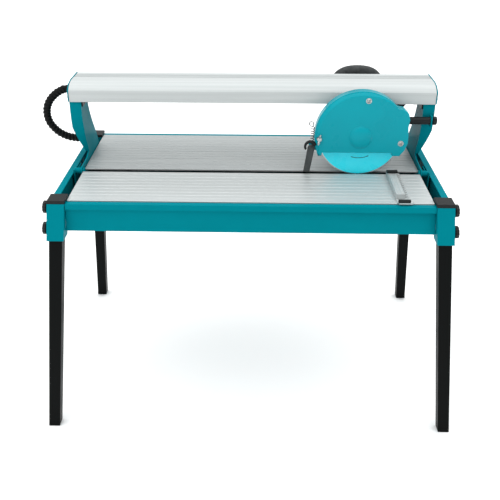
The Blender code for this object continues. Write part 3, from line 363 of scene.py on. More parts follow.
def tidied(name: str, mesh: bpy.types.Mesh, angle: float = CRISP_ANGLE, outward: bool = True) -> Piece:
    """Merge doubled points, face everything outwards and make the object.

    Args:
        name: The piece's name.
        mesh: Its mesh.
        angle: Edges sharper than this, in degrees, stay crisp.
        outward: Whether to work out which way the faces look.

    Returns:
        The object, at the origin.
    """
    bm = bmesh.new()
    bm.from_mesh(mesh)
    bmesh.ops.remove_doubles(bm, verts=bm.verts, dist=2e-6)
    bmesh.ops.dissolve_degenerate(bm, edges=bm.edges, dist=1e-7)
    if outward:
        bmesh.ops.recalc_face_normals(bm, faces=bm.faces)
    bm.to_mesh(mesh)
    bm.free()
    mesh.name = name
    mesh.shade_smooth()
    mesh.set_sharp_from_angle(angle=math.radians(angle))
    return placed(name, mesh)


def surface(name: str, grid: np.ndarray, ring: bool = False, caps: tuple[bool, bool] = (False, False),
            angle: float = CRISP_ANGLE) -> Piece:
    """Make a surface from a grid of points, each row of which closes on itself.

    Args:
        name: The piece's name.
        grid: Points by row and column.
        ring: Whether the last row joins the first, as on a ring.
        caps: Whether the first row and the last are closed by flat faces.
        angle: Edges sharper than this, in degrees, stay crisp.

    Returns:
        The object.
    """
    rows, columns = grid.shape[:2]
    faces = numbered(rows, columns, ring).tolist()
    ends = (list(range(columns))[::-1], list(range((rows - 1) * columns, rows * columns)))
    faces += [face for face, closed in zip(ends, caps) if closed]
    mesh = bpy.data.meshes.new(name)
    mesh.from_pydata(grid.reshape(-1, 3), [], faces)
    return tidied(name, mesh, angle)


def merged(name: str, parts: list[Piece], angle: float = CRISP_ANGLE) -> Piece:
    """Put several closed shapes into one piece."""
    bm = bmesh.new()
    for part in parts:
        bm.from_mesh(part.data)
        bpy.data.objects.remove(part, do_unlink=True)
    mesh = bpy.data.meshes.new(name)
    bm.to_mesh(mesh)
    bm.free()
    return tidied(name, mesh, angle)


def soft_edges(piece: Piece, width: float) -> Piece:
    """Round the sharp edges of a piece to a width in metres."""
    bevel = piece.modifiers.new("edges", "BEVEL")
    bevel.width = width
    bevel.segments = 2
    bevel.limit_method = "ANGLE"
    bevel.angle_limit = math.radians(32)
    bevel.use_clamp_overlap = True
    bevel.harden_normals = True
    return piece


def square_to(axis: np.ndarray) -> Pair:
    """Two unit vectors square to an axis and to each other."""
    helper = np.eye(3)[2 if abs(axis[2]) < 0.9 else 0]
    first = np.cross(axis, helper)
    first /= np.linalg.norm(first)
    return first, np.cross(axis, first)


def turned(name: str, profile: Profile, centre, axis, segments: int = 48,
           ring: bool = False, flutes: int = 0, depth: float = 0.0, grip: float = 0.0) -> Piece:
    """Turn a profile about an axis.

    A point at height h and angle a lies at centre + h * axis + r * (cos a, sin a) across it, where r
    is the profile's radius less the flute: depth times a cosine wave that runs flutes times round.

    Args:
        name: The piece's name.
        profile: (radius, height) points; it starts and ends at radius 0 unless it is a ring.
        centre: Where height 0 lies on the axis.
        axis: The way the height grows.
        segments: Sides round the axis.
        ring: Whether the profile closes on itself.
        flutes: How many hollows run round it.
        depth: How deep they are.
        grip: Only radii over this are fluted.

    Returns:
        The object.
    """
    axis = np.array(axis, float) / np.linalg.norm(axis)
    first, second = square_to(axis)
    radius, height = np.array(profile, float).T
    angle = np.arange(segments) / segments * TAU
    wave = 0.5 - 0.5 * np.cos(flutes * angle)
    across = radius[:, None] - depth * wave[None] * (radius[:, None] > grip)
    grid = (
        np.array(centre, float)
        + height[:, None, None] * axis
        + (across * np.cos(angle))[..., None] * first
        + (across * np.sin(angle))[..., None] * second
    )
    return surface(name, grid, ring=ring)


def mirrored(upper: Profile) -> Profile:
    """A ring's profile from its upper half, which starts at the rim."""
    return upper + [(radius, -height) for radius, height in reversed(upper)]


def drawn(name: str, outline: np.ndarray, across: Axis, low: float, high: float) -> Piece:
    """Draw a flat outline out along an axis, with flat ends."""
    normal, u, v = across.value
    grid = np.zeros((2, len(outline), 3))
    grid[..., [u, v]] = outline
    grid[..., normal] = [[low], [high]]
    return surface(name, grid, caps=(True, True))


def block(name: str, low, high) -> Piece:
    """A rectangular bar between two corners."""
    outline = np.array([(low[1], low[2]), (high[1], low[2]), (high[1], high[2]), (low[1], high[2])])
    return drawn(name, outline, Axis.X, low[0], high[0])


def arc(centre, radius: float, start: float, end: float, steps: int) -> np.ndarray:
    """Points along an arc, with its angles in degrees."""
    angle = np.radians(np.linspace(start, end, steps + 1))
    return np.stack([centre[0] + radius * np.cos(angle), centre[1] + radius * np.sin(angle)], -1)


def flowing(points, steps: int) -> np.ndarray:
    """Points along a smooth curve (Catmull-Rom) through the given ones, with steps for each run."""
    known = np.array(points, float)
    ends = np.vstack([known[:1], known, known[-1:]])
    p, q, r, s = (ends[i:len(ends) - 3 + i, None] for i in range(4))
    t = (np.arange(steps) / steps)[None, :, None]
    bend = (2 * p - 5 * q + 4 * r - s) * t**2 + (3 * q - p - 3 * r + s) * t**3
    made = 0.5 * (2 * q + (r - p) * t + bend)
    return np.vstack([made.reshape(-1, known.shape[1]), known[-1:]])


def even(path: np.ndarray, step: float) -> Pair:
    """Points spaced evenly along a path, and each one's distance along it."""
    runs = np.linalg.norm(np.diff(path, axis=0), axis=1)
    along = np.concatenate([[0.0], np.cumsum(runs)])
    wanted = np.linspace(0, along[-1], int(round(along[-1] / step)) + 1)
    return np.stack([np.interp(wanted, along, path[:, i]) for i in range(3)], -1), wanted


def tube(name: str, path: np.ndarray, radius, sides: int, upright) -> Piece:
    """Carry a round section along a path.

    At each point the section is spanned by two vectors square to the path, the first of them as
    near as it can be to upright.

    Args:
        name: The piece's name.
        path: The points of its centre line.
        radius: One radius, or one for each point (and side), with a row for each point.
        sides: How many sides the section has.
        upright: A direction that the path never runs along.

    Returns:
        The object, with closed ends.
    """
    heading = np.gradient(path, axis=0)
    heading /= np.linalg.norm(heading, axis=1)[:, None]
    side = np.cross(heading, np.array(upright, float))
    side /= np.linalg.norm(side, axis=1)[:, None]
    up = np.cross(side, heading)
    angle = np.arange(sides) / sides * TAU
    reach = np.broadcast_to(np.asarray(radius, float), (len(path), sides))[..., None]
    cosine, sine = np.cos(angle)[None, :, None], np.sin(angle)[None, :, None]
    grid = path[:, None] + reach * (cosine * up[:, None] + sine * side[:, None])
    return surface(name, grid, caps=(True, True), angle=50)


def box_of(node: str) -> Pair:
    """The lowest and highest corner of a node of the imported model."""
    low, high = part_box(node)
    return np.array(low), np.array(high)


def middle_of(node: str) -> Pair:
    """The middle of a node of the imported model, and half its size along each axis."""
    low, high = box_of(node)
    return (low + high) / 2, (high - low) / 2


def finished(piece: Piece, body: str, slot: str, finish: Finish, *nodes: str) -> None:
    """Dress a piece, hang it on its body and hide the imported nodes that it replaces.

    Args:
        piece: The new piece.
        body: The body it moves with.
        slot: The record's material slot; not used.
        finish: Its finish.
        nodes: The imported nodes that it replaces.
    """
    piece.data.materials.clear()
    piece.data.materials.append(finish.material())
    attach(piece, body)
    if nodes:
        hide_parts(*nodes)
    LOG.info("%s on %s", piece.name, body)


BODY_OF = {node: body for body, nodes in frame["record"]["behaviour"]["bodies"].items() for node in nodes}
SLOT_OF = {row["node"]: row["material_slot"] for row in frame["record"]["subparts"]}
FINISH_OF = {
    "teal_paint": TEAL, "guard_paint": GUARD_TEAL, "tray_paint": TRAY_PLASTIC, "black_plastic": NYLON,
    "black_paint": BLACK_COAT, "aluminium": PLATE, "cast_black": CAST_BLACK, "zinc_steel": ZINC,
    "blade_cyan": ZINC, "rubber": FLAP_RUBBER,
}


# Fasteners


class Head(Enum):
    """The kinds of screw head on the saw."""

    PAN = "pan"
    HEX = "hex"


def screw(name: str, centre, axis, radius: float, head: Head) -> Piece:
    """A screw head on a washer, with its seat 0.3 mm inside the surface it lies on."""
    height, wide = 0.62 * radius, 1.35 * radius
    seat, face = -0.3 * MM, 0.7 * MM
    washer = [(0, seat), (wide, seat), (wide, face), (0, face)]
    parts = [turned(name, washer, centre, axis, 24)]
    if head is Head.HEX:
        bolt = [(0, 0), (radius, 0), (radius, 0.85 * height), (0.86 * radius, height), (0, height)]
        parts.append(turned(name, bolt, centre, axis, 6))
    else:
        lift = np.radians(np.linspace(0, 90, 6))
        dome = [(radius * math.cos(a), face + height * math.sin(a)) for a in lift[:-1]]
        socket = 0.38 * radius
        floor = face + 0.45 * height
        dome += [(socket, face + 0.92 * height), (0.8 * socket, floor), (0, floor)]
        parts.append(turned(name, [(0, 0), *dome], centre, axis, 24))
    return merged(name, parts)


def knob_profile(radius: float, height: float, shaft: float, inner: float) -> Profile:
    """Profile of a moulded clamp knob, from the middle of its face round to the end of its shaft."""
    rim = arc((radius - 2.5 * MM, height - 2.5 * MM), 2.5 * MM, 90, 0, 4)
    return [
        (0, height - 1.2 * MM), (0.5 * radius, height - 1.2 * MM), (0.58 * radius, height),
        *[tuple(point) for point in rim], (radius, 4.5 * MM), (radius - 3 * MM, 1.2 * MM),
        (0.62 * radius, 0.4 * MM), (shaft, 0.4 * MM), (shaft, inner), (0, inner),
    ]


# Sub-assemblies


@dataclass
class PlainParts:
    """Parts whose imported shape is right: each gets rounded edges and its finish."""

    edge: float = 1.2 * MM
    fine_edge: float = 0.5 * MM

    def copy_of(self, node: str, width: float) -> Piece:
        """Copy a node's shape as clean faces with rounded edges."""
        name = node + "_shell"
        bm = bmesh.new()
        bm.from_mesh(frame["nodes"][node].data)
        bmesh.ops.remove_doubles(bm, verts=bm.verts, dist=1e-6)
        bmesh.ops.dissolve_limit(bm, angle_limit=math.radians(0.6), verts=bm.verts, edges=bm.edges)
        mesh = bpy.data.meshes.new(name)
        bm.to_mesh(mesh)
        bm.free()
        return soft_edges(tidied(name, mesh, outward=False), width)

    def build(self, taken: set[str]) -> None:
        """Dress every node that isn't taken by another class."""
        for node in sorted(set(BODY_OF) - taken):
            slot = SLOT_OF[node]
            width = self.fine_edge if slot in ("zinc_steel", "rubber") else self.edge
            finished(self.copy_of(node, width), BODY_OF[node], slot, FINISH_OF[slot], node)


@dataclass
class Corner:
    """One corner's two fluted clamp knobs, which lean with its leg."""

    label: str
    knob_radius: float = 14.5 * MM
    knob_height: float = 12 * MM
    shaft: float = 4 * MM

    def build(self) -> set[str]:
        """Make both knobs, each on its own body, and return the nodes they stand for."""
        joints = {row["name"]: row for row in frame["joints"]}
        nodes = set()
        for place in ("upper", "lower"):
            node = f"leg_knob_{self.label}_{place}"
            row = joints[node + "_turn"]
            at = np.array(row["pos_m"])
            out = np.array(row["axis"])
            out = out * np.sign(out[0]) * np.sign(at[0])
            profile = knob_profile(self.knob_radius, self.knob_height, self.shaft, -3.3 * MM)
            knob = turned(node + "_grip", profile, at, out, 72, flutes=9, depth=1.5 * MM, grip=11 * MM)
            finished(knob, node, "black_plastic", NYLON, node)
            nodes.add(node)
        return nodes


@dataclass
class Table:
    """Two ribbed plates. Shallow grooves run along X in both. The rear plate gets a darker copy of the plate
    finish, as painted shade under the beam.
    """

    groove: float = 2.6 * MM
    groove_depth: float = 0.5 * MM
    pitch: float = 17.5 * MM
    margin: float = 13 * MM

    def section(self, low: np.ndarray, high: np.ndarray) -> np.ndarray:
        """Section of a plate as (y, z): each groove is a dip with sloping sides."""
        span = high[1] - low[1] - 2 * self.margin
        count = int(span // self.pitch) + 1
        start = low[1] + self.margin + (span - (count - 1) * self.pitch) / 2
        middle = (start + np.arange(count) * self.pitch)[:, None]
        half = self.groove / 2
        across = middle + np.array([-half, -0.6 * half, 0.6 * half, half])
        height = np.broadcast_to(high[2] - np.array([0, 1, 1, 0]) * self.groove_depth, across.shape)
        top = np.stack([across, height], -1).reshape(-1, 2)
        lip = 0.8 * MM
        start_edge = [(low[1], low[2]), (low[1], high[2] - lip), (low[1] + lip, high[2])]
        end_edge = [(high[1] - lip, high[2]), (high[1], high[2] - lip), (high[1], low[2])]
        return np.vstack([start_edge, top, end_edge])

    def build(self) -> set[str]:
        """Make both plates and return the nodes they stand for."""
        # The rear plate's darker finish is painted shade from the beam above it.
        for node, finish in (("table_front", PLATE), ("table_rear", SHADED_REAR_PLATE)):
            low, high = box_of(node)
            plate = drawn(node + "_ribbed", self.section(low, high), Axis.X, low[0], high[0])
            finished(plate, "frame", "aluminium", finish, node)
        return {"table_front", "table_rear"}


@dataclass
class Bridge:
    """Beam with its grooves, end bolts and brackets, conduit with its gland, and lock knob."""

    wall: float = 3 * MM
    face: float = 27 * MM
    slot: float = 46 * MM
    groove: float = 3.2 * MM
    groove_depth: float = 2.2 * MM
    conduit_radius: float = 10 * MM
    conduit_end: float = -414.3 * MM
    wrap_pitch: float = 9 * MM
    bracket_reach: float = 24 * MM
    bracket_drop: float = 14 * MM
    bracket_width: float = 26 * MM
    bracket_wall: float = 3 * MM

    def beam_section(self, low: np.ndarray, high: np.ndarray) -> np.ndarray:
        """Section of the beam as (y, z), going round from its rear foot."""
        front, rear, base, top = low[1], high[1], low[2], high[2]
        brow = base + self.face
        half = self.groove / 2
        floor = top - self.groove_depth
        grooves = []
        for back in (22, 31, 42):
            at = rear - back * MM
            grooves += [(at + half, top), (at + half, floor), (at - half, floor), (at - half, top)]
        shoulder = [(front + y * MM, top - z * MM) for y, z in ((41, 0), (30, 1.2), (18, 4), (9, 8.5))]
        outer = [
            (rear, base), (rear, top - MM), (rear - MM, top), *grooves, *shoulder,
            (front + 0.6 * MM, brow + MM), (front, brow), (front, base),
        ]
        middle = (front + rear) / 2
        near, far = middle - self.slot / 2, middle + self.slot / 2
        floor = base + self.wall
        roof, left, right = top - self.wall, front + self.wall, rear - self.wall
        inner = [
            (near, base), (near, floor), (left, floor), (left, brow - MM), (front + 7 * MM, brow + 2.5 * MM),
            (front + 20 * MM, top - 7 * MM), (front + 42 * MM, roof), (right, roof), (right, floor),
            (far, floor), (far, base),
        ]
        return np.array(outer + inner)

    def beam(self) -> None:
        """The beam, drawn along X."""
        low, high = box_of("bridge_beam")
        beam = drawn("bridge_beam_extrusion", self.beam_section(low, high), Axis.X, low[0], high[0])
        finished(beam, "bridge", "aluminium", BEAM, "bridge_beam")

    def bolts(self) -> None:
        """Bolts through the end plates and the supports' seats."""
        low, high = box_of("bridge_beam")
        for side, node in ((-1, "end_plate_left"), (1, "end_plate_right")):
            plate = box_of(node)[side > 0]
            heads = []
            for y, z in ((low[1] + 13 * MM, low[2] + 9 * MM), (high[1] - 14 * MM, low[2] + 12 * MM)):
                heads.append(screw("bolt", (plate[0], y, z), (side, 0, 0), 5 * MM, Head.HEX))
            finished(merged(node + "_bolts", heads), "bridge", "zinc_steel", ZINC)

    def conduit(self) -> None:
        """Spiral-wrapped conduit: a smooth tube with a ridge that climbs one turn each pitch."""
        low = box_of("cable_gland")[0]
        middle = middle_of("cable_gland")[0]
        table = box_of("table_front")[1][2]
        start = (low[0] - 0.3 * MM, middle[1], middle[2])
        route = np.array([
            (-462, 0, 173), (-480, 0, 164), (-497, 0, 149), (-508, 0, 131), (-512, 0, 111), (-509, 0, 91),
            (-499, 0, 74), (-484, 0, 60), (-464, 0, 50.5), (-442, 0, 47), (-427, 0, 47),
        ]) * MM + (0, middle[1], table)
        end = (self.conduit_end, middle[1], route[-1][2])
        rough = np.vstack([[start], flowing(route, 12), [end]])
        path, along = even(rough, 0.9 * MM)
        sides = 32
        angle = np.arange(sides) / sides * TAU
        turn = (along[:, None] / self.wrap_pitch - angle[None] / TAU) % 1.0
        ridge = np.clip(1.25 - np.abs(turn - 0.5) * 3.2, 0.0, 1.0)
        ridge = ridge * ridge * (3 - 2 * ridge)
        radius = self.conduit_radius * (0.87 + 0.13 * ridge)
        conduit = tube("spiral_conduit", path, radius, sides, (0, 1, 0))
        finished(conduit, "bridge", "rubber", DARK_NYLON, "conduit")

    def gland(self) -> None:
        """Gland nut with a ribbed grip."""
        low, high = box_of("cable_gland")
        middle, half = middle_of("cable_gland")
        radius = half[2]
        length = high[0] - low[0]
        profile = [
            (radius, 0), (radius, 6 * MM), (radius - 2 * MM, length - MM), (radius - 3 * MM, length),
            (7 * MM, length), (7 * MM, 0),
        ]
        nut = turned("cable_gland_nut", profile, (high[0], middle[1], middle[2]), (-1, 0, 0), 72, ring=True,
                     flutes=12, depth=0.9 * MM, grip=10 * MM)
        finished(nut, "bridge", "black_plastic", NYLON, "cable_gland")

    def lock_knob(self) -> None:
        """Fluted knob and pin of the screw that holds the parked head."""
        low, high = box_of("lock_screw")
        middle, half = middle_of("lock_screw")
        knob_start = high[0] - 12 * MM
        profile = knob_profile(half[2], 12 * MM, 4 * MM, low[0] - knob_start)
        knob = turned("lock_screw_knob", profile, (knob_start, middle[1], middle[2]), (1, 0, 0), 60,
                      flutes=8, depth=1.2 * MM, grip=8 * MM)
        finished(knob, "lock", "black_plastic", NYLON, "lock_screw")

    def brackets(self) -> None:
        """Dark angle brackets that hold the beam on the supports' flanges."""
        low = box_of("bridge_beam")[0]
        y, top, foot = low[1] + 8 * MM, low[2] - 0.4 * MM, low[2] - self.bracket_drop
        under = low[2] - self.bracket_wall
        for side, label in ((-1, "left"), (1, "right")):
            inner = box_of("support_" + label)[side < 0][0]
            reach = inner - side * self.bracket_reach
            wall = inner - side * self.bracket_wall
            outline = np.array([
                (inner, top), (reach, top), (reach, under), (wall, under), (wall, foot), (inner, foot),
            ])
            bracket = drawn(f"beam_bracket_{label}", outline, Axis.Y, y, y + self.bracket_width)
            finished(soft_edges(bracket, 0.5 * MM), "bridge", "black_plastic", CAST_BLACK)

    def build(self) -> set[str]:
        """Make the bridge's pieces and return the nodes they stand for."""
        self.conduit()
        self.beam()
        self.bolts()
        self.gland()
        self.lock_knob()
        self.brackets()
        return {"bridge_beam", "conduit", "cable_gland", "lock_screw"}


@dataclass
class BladeSet:
    """Blade with a painted core and a bare, slightly thicker rim, and its nut."""

    rim: float = 6 * MM
    core_relief: float = 0.25 * MM
    bore: float = 12.5 * MM
    nut_bore: float = 6.3 * MM

    def build(self) -> set[str]:
        """Make the disc and the nut and return the nodes they stand for."""
        centre, size = middle_of("blade")
        half, radius = size[1], size[2]
        step = radius - self.rim
        core = half - self.core_relief
        profile = mirrored([
            (radius, half - 0.3 * MM), (radius - 0.4 * MM, half), (step, half), (step - MM, core),
            (self.bore, core),
        ])
        disc = turned("blade_disc", profile, centre, (0, 1, 0), 160, ring=True)
        paint = PaintedDisc("blade_lacquer", "#30ECFF", 0.3, centre=(centre[0], centre[2]))
        finished(disc, "blade_shaft", "blade_cyan", paint, "blade")

        nut_low, nut_high = box_of("blade_nut")
        depth = nut_high[1] - nut_low[1]
        inner = self.nut_bore
        flange = [(22 * MM, 0), (22 * MM, 3 * MM), (20.5 * MM, 4 * MM), (inner, 4 * MM), (inner, 0)]
        at = (centre[0], nut_high[1], centre[2])
        outer = turned("blade_flange", flange, at, (0, -1, 0), 64, ring=True)
        hexagon = [
            (13 * MM, 3.8 * MM), (13 * MM, depth - MM), (12 * MM, depth), (inner, depth),
            (inner, 3.8 * MM),
        ]
        nut = turned("blade_hexagon", hexagon, at, (0, -1, 0), 6, ring=True)
        finished(merged("blade_flange_nut", [outer, nut]), "blade_shaft", "zinc_steel", ZINC, "blade_nut")
        return {"blade", "blade_nut"}


@dataclass
class Guard:
    """Blade guard cover: a pressed face inside a sloping rim, with its fittings and spring."""

    wall: float = 2.2 * MM
    rim: float = 9 * MM
    rim_depth: float = 7 * MM
    flat_share: float = 0.12  # how much of the rim's slope is left along the ear and the foot
    arc_start: float = 205  # degrees, over the left foot
    arc_end: float = 40  # degrees, where the ear begins
    arc_steps: int = 60
    boss_radius: float = 28 * MM
    boss_height: float = 9 * MM

    def outline(self, radius: float) -> Pair:
        """The cover's outline about the spindle, and how wide the rim's slope is at each point.

        The rim is an arc, and its slope fades out towards the ear and along the foot.
        """
        ear = radius + 5 * MM
        inner = radius - 30 * MM
        foot = -46 * MM
        rise = -38 * MM
        start, end = self.arc_start, self.arc_end
        round_part = arc((0, 0), radius, start, end, self.arc_steps)
        lobe = np.array([
            (0.87, 0.585), (0.955, 0.5), (0.985, 0.38), (0.968, 0.22), (0.985, 0.05), (0.99, -0.12),
            (0.94, -0.27), (0.865, -0.37),
        ]) * ear
        base = np.array([
            (0.84 * ear, foot), (inner, foot), (inner - 2 * MM, rise), (-inner - 10 * MM, rise),
            (-inner - 12 * MM, foot), (-0.915 * radius, foot),
        ])
        turn = np.linspace(start, end, self.arc_steps + 1)
        fade = np.clip((turn - end) / 40, 0, 1) * np.clip((start - turn) / 15 + 0.4, 0, 1)
        low = self.flat_share
        slope = np.concatenate([low + (1 - low) * fade, np.full(len(lobe) + len(base), low)])
        return np.vstack([round_part, lobe, base]), slope * self.rim

    def inset(self, outline: np.ndarray, distance: np.ndarray) -> np.ndarray:
        """Move each point of a clockwise outline inwards, along the mean of its edges' normals."""
        run = np.roll(outline, -1, 0) - np.roll(outline, 1, 0)
        run /= np.linalg.norm(run, axis=1)[:, None]
        inward = np.stack([run[:, 1], -run[:, 0]], -1)
        return outline + inward * distance[:, None]

    def cover(self) -> tuple[np.ndarray, float]:
        """The cover as one bent sheet: side wall, rounded shoulder, sloping rim and flat face."""
        centre = middle_of("blade")[0]
        low, high = box_of("guard_cover")
        front = low[1] + 5 * MM
        radius = high[2] - centre[2]
        outline, slope = self.outline(radius)
        # Each row's share of the slope's width inwards, and its level: 1 back edge, 0 rim, -1 face.
        shares = [
            (0.0, 1.0), (0.0, 0.12), (0.1, 0.02), (0.25, 0.0), (0.93, -0.97), (1.0, -1.0), (1.25, -1.0),
        ]
        rows = []
        for share, level in shares:
            flat = self.inset(outline, share * slope)
            if level > 0.5:
                y = np.full(len(flat), high[1])
            else:
                y = front + self.rim_depth * (slope / self.rim) * (1 + level)
            rows.append(np.stack([centre[0] + flat[:, 0], y, centre[2] + flat[:, 1]], -1))
        cover = surface("guard_shell", np.array(rows), caps=(False, True), angle=40)
        solid = cover.modifiers.new("wall", "SOLIDIFY")
        solid.thickness = self.wall
        solid.offset = -1
        finished(cover, "head", "guard_paint", GUARD_TEAL, "guard_cover")
        return centre, front

    def fittings(self, centre: np.ndarray, front: float) -> None:
        """Boss over the spindle, two screws, and the wing nut on the left lug."""
        forward = (0, -1, 0)
        under = -2 * MM
        wide, high = self.boss_radius, self.boss_height
        boss = [(wide * t, high * math.sqrt(1 - 0.98 * t * t) + under) for t in np.linspace(0, 1, 9)]
        profile = [*boss, (wide, under), (0, under)]
        dome = turned("guard_boss", profile, (centre[0], front, centre[2]), forward, 64)
        finished(dome, "head", "guard_paint", GUARD_TEAL)
        heads = []
        for x, z in ((12, 88), (95, -14)):
            at = (centre[0] + x * MM, front, centre[2] + z * MM)
            heads.append(screw("screw", at, forward, 5 * MM, Head.PAN))
        finished(merged("guard_screws", heads), "head", "zinc_steel", ZINC)

        at = np.array((centre[0] - 97 * MM, front - MM, centre[2] - 4 * MM))
        profile = np.array([(0, -3), (6.5, -3), (5.5, 5), (0, 6)]) * MM
        wings = [turned("hub", profile, at, forward, 24)]
        for side in (-1, 1):
            along = np.linspace(0, 1, 9)
            path = at + np.stack([2.5 * side * along, -4 - 5 * along, side * (3 + 9.5 * along)], -1) * MM
            width = (3.6 - 0.6 * np.cos(along * TAU)) * MM * np.sin(0.35 + along * 2.55) ** 0.5
            wings.append(tube("wing", path, width[:, None] * 0.75, 14, (1, 0, 0)))
        finished(merged("guard_wing_nut", wings, 50), "head", "zinc_steel", ZINC)

    def spring(self, centre: np.ndarray) -> None:
        """Coil spring and wire link that pull the splash flap back, hooked on the guard's left edge."""
        flap_low, flap_high = box_of("splash_flap")
        y = flap_low[1] - 3.5 * MM
        top = np.array((centre[0] - 112 * MM, y, centre[2] + 24 * MM))
        foot = np.array(((flap_low[0] + flap_high[0]) / 2 + 4 * MM, y, flap_high[2] - 3 * MM))
        turns, radius, wire = 9, 3.8 * MM, 1.0 * MM
        along = np.linspace(0, 1, turns * 14 + 1)[:, None]
        axis = (foot - top) / np.linalg.norm(foot - top)
        first, second = square_to(axis)
        angle = along * turns * TAU
        coil = top + along * (foot - top) + radius * (np.cos(angle) * first + np.sin(angle) * second)
        wound = tube("coil", coil, wire, 7, axis)
        bend = np.array([(0, 0, 0), (1, 0, 6), (-2, 0, 10), (-7, 0, 10), (-9, 0, 5), (-6, 0, 1)]) * MM
        hook = tube("hook", flowing(top + bend, 6), 1.1 * MM, 8, (0, 1, 0))
        finished(merged("flap_spring", [wound, hook], 60), "head", "zinc_steel", WIRE)

        claw = arc((centre[0] - 117 * MM, centre[2] - 26 * MM), 12 * MM, 15, 215, 12)
        path = np.stack([claw[:, 0], np.full(len(claw), y - 2.2 * MM), claw[:, 1]], -1)
        width = np.linspace(5.0, 2.4, len(claw))[:, None] * MM
        finished(tube("flap_claw", path, width, 12, (0, 1, 0)), "head", "black_plastic", NYLON)

    def build(self) -> set[str]:
        """Make the guard's pieces and return the nodes they stand for."""
        centre, front = self.cover()
        self.fittings(centre, front)
        self.spring(centre)
        return {"guard_cover"}


@dataclass
class Drive:
    """Motor dress, handle, switch and rollers."""

    fins: int = 28
    fin_height: float = 1.6 * MM
    tube_radius: float = 14.5 * MM

    def motor(self) -> None:
        """Cooling fins round the motor, and a ribbed end grille with a cap.

        The fin sleeve's radius is the motor's plus a cosine wave round it, faded at both ends.
        """
        low, high = box_of("motor_housing")
        centre = middle_of("blade")[0]
        radius = 42 * MM
        rows = 14
        along = np.linspace(low[1] + 4 * MM, high[1] - 52 * MM, rows)
        fade = np.sin(np.linspace(0, math.pi, rows)) ** 0.3
        angle = np.arange(self.fins * 8) / (self.fins * 8) * TAU
        wave = np.clip(0.5 + 1.4 * np.cos(self.fins * angle), 0, 1)
        reach = radius - MM + fade[:, None] * (MM + self.fin_height * wave)
        grid = np.stack([
            centre[0] + reach * np.cos(angle), np.broadcast_to(along[:, None], reach.shape),
            centre[2] + reach * np.sin(angle),
        ], -1)
        sleeve = surface("motor_fins", grid, caps=(True, True), angle=50)
        finished(sleeve, "head", "cast_black", CAST_BLACK)

        face = high[1]
        outer, inner, wide = 31 * MM, 17 * MM, 16
        grille = []
        for turn in np.arange(0, 360, 30):
            rib = np.vstack([
                arc(centre[[0, 2]], outer, turn, turn + wide, 4),
                arc(centre[[0, 2]], inner, turn + wide, turn, 4),
            ])
            grille.append(drawn("rib", rib, Axis.Y, face - MM, face + 1.2 * MM))
        cap = np.array([(0, -1), (13, -1), (13, 1.6), (11, 2.4), (0, 2.4)]) * MM
        grille.append(turned("cap", cap, (centre[0], face, centre[2]), (0, 1, 0), 40))
        finished(merged("motor_end_grille", grille), "head", "black_plastic", NYLON)

    def handle(self) -> None:
        """Arched handle: a round grip along an arch, with finger ribs round its middle."""
        low, high = box_of("handle")
        middle, size = middle_of("handle")
        half = size[0] - self.tube_radius - MM
        rise = high[2] - self.tube_radius - low[2]
        side = np.array([
            (half - 2 * MM, 0), (half, 0.25 * rise), (half + MM, 0.5 * rise),
            (0.9 * half, 0.78 * rise), (0.55 * half, 0.95 * rise),
        ])
        flat = flowing([*side * (-1, 1), (0, rise), *side[::-1]], 10)
        rough = np.stack([middle[0] + flat[:, 0], np.full(len(flat), middle[1]), low[2] + flat[:, 1]], -1)
        path, along = even(rough, 2 * MM)
        share = along / along[-1]
        ribs = 0.5 + 0.5 * np.cos(along / (7 * MM) * TAU)
        grip = np.clip(1 - np.abs(share - 0.5) / 0.2, 0, 1) ** 0.5
        radius = self.tube_radius - grip * 0.5 * MM * ribs
        arch = tube("handle_grip", path, radius[:, None], 28, (0, 1, 0))
        finished(arch, "head", "black_plastic", GRIP_RUBBER, "handle")

    def rollers(self) -> set[str]:
        """Four rollers, each with a crown and a pressed bearing shield."""
        names = {f"roller_{row}_{side}" for row in ("front", "rear") for side in ("left", "right")}
        bore = 4.3 * MM
        for node in sorted(names):
            middle, size = middle_of(node)
            half, radius = size[1], size[2]
            shield = half - MM
            profile = mirrored([
                (radius, 0.6 * half), (radius - 0.8 * MM, half), (8.5 * MM, half), (8.2 * MM, shield),
                (6 * MM, shield), (5.7 * MM, half), (bore, half),
            ])
            roller = turned(node + "_wheel", profile, middle, (0, 1, 0), 48, ring=True)
            finished(roller, node, "zinc_steel", ZINC, node)
        return names

    def switch(self) -> None:
        """Rocker cap with raised bars across it."""
        low, high = box_of("switch_button")
        middle, size = middle_of("switch_button")
        across = np.linspace(-1, 1, 25)
        crown = high[2] - 0.8 * MM + 0.8 * MM * (0.5 + 0.5 * np.cos(across * 4 * TAU)) * (1 - across**6)
        top = np.stack([middle[1] + across * size[1], crown], -1)
        outline = np.vstack([(low[1], low[2]), top, (high[1], low[2])])
        cap = drawn("switch_cap", outline, Axis.X, low[0], high[0])
        finished(soft_edges(cap, 0.4 * MM), "switch", "rubber", FLAP_RUBBER, "switch_button")

    def build(self) -> set[str]:
        """Make the drive's pieces and return the nodes they stand for."""
        self.motor()
        self.handle()
        self.switch()
        return {"handle", "switch_button"} | self.rollers()


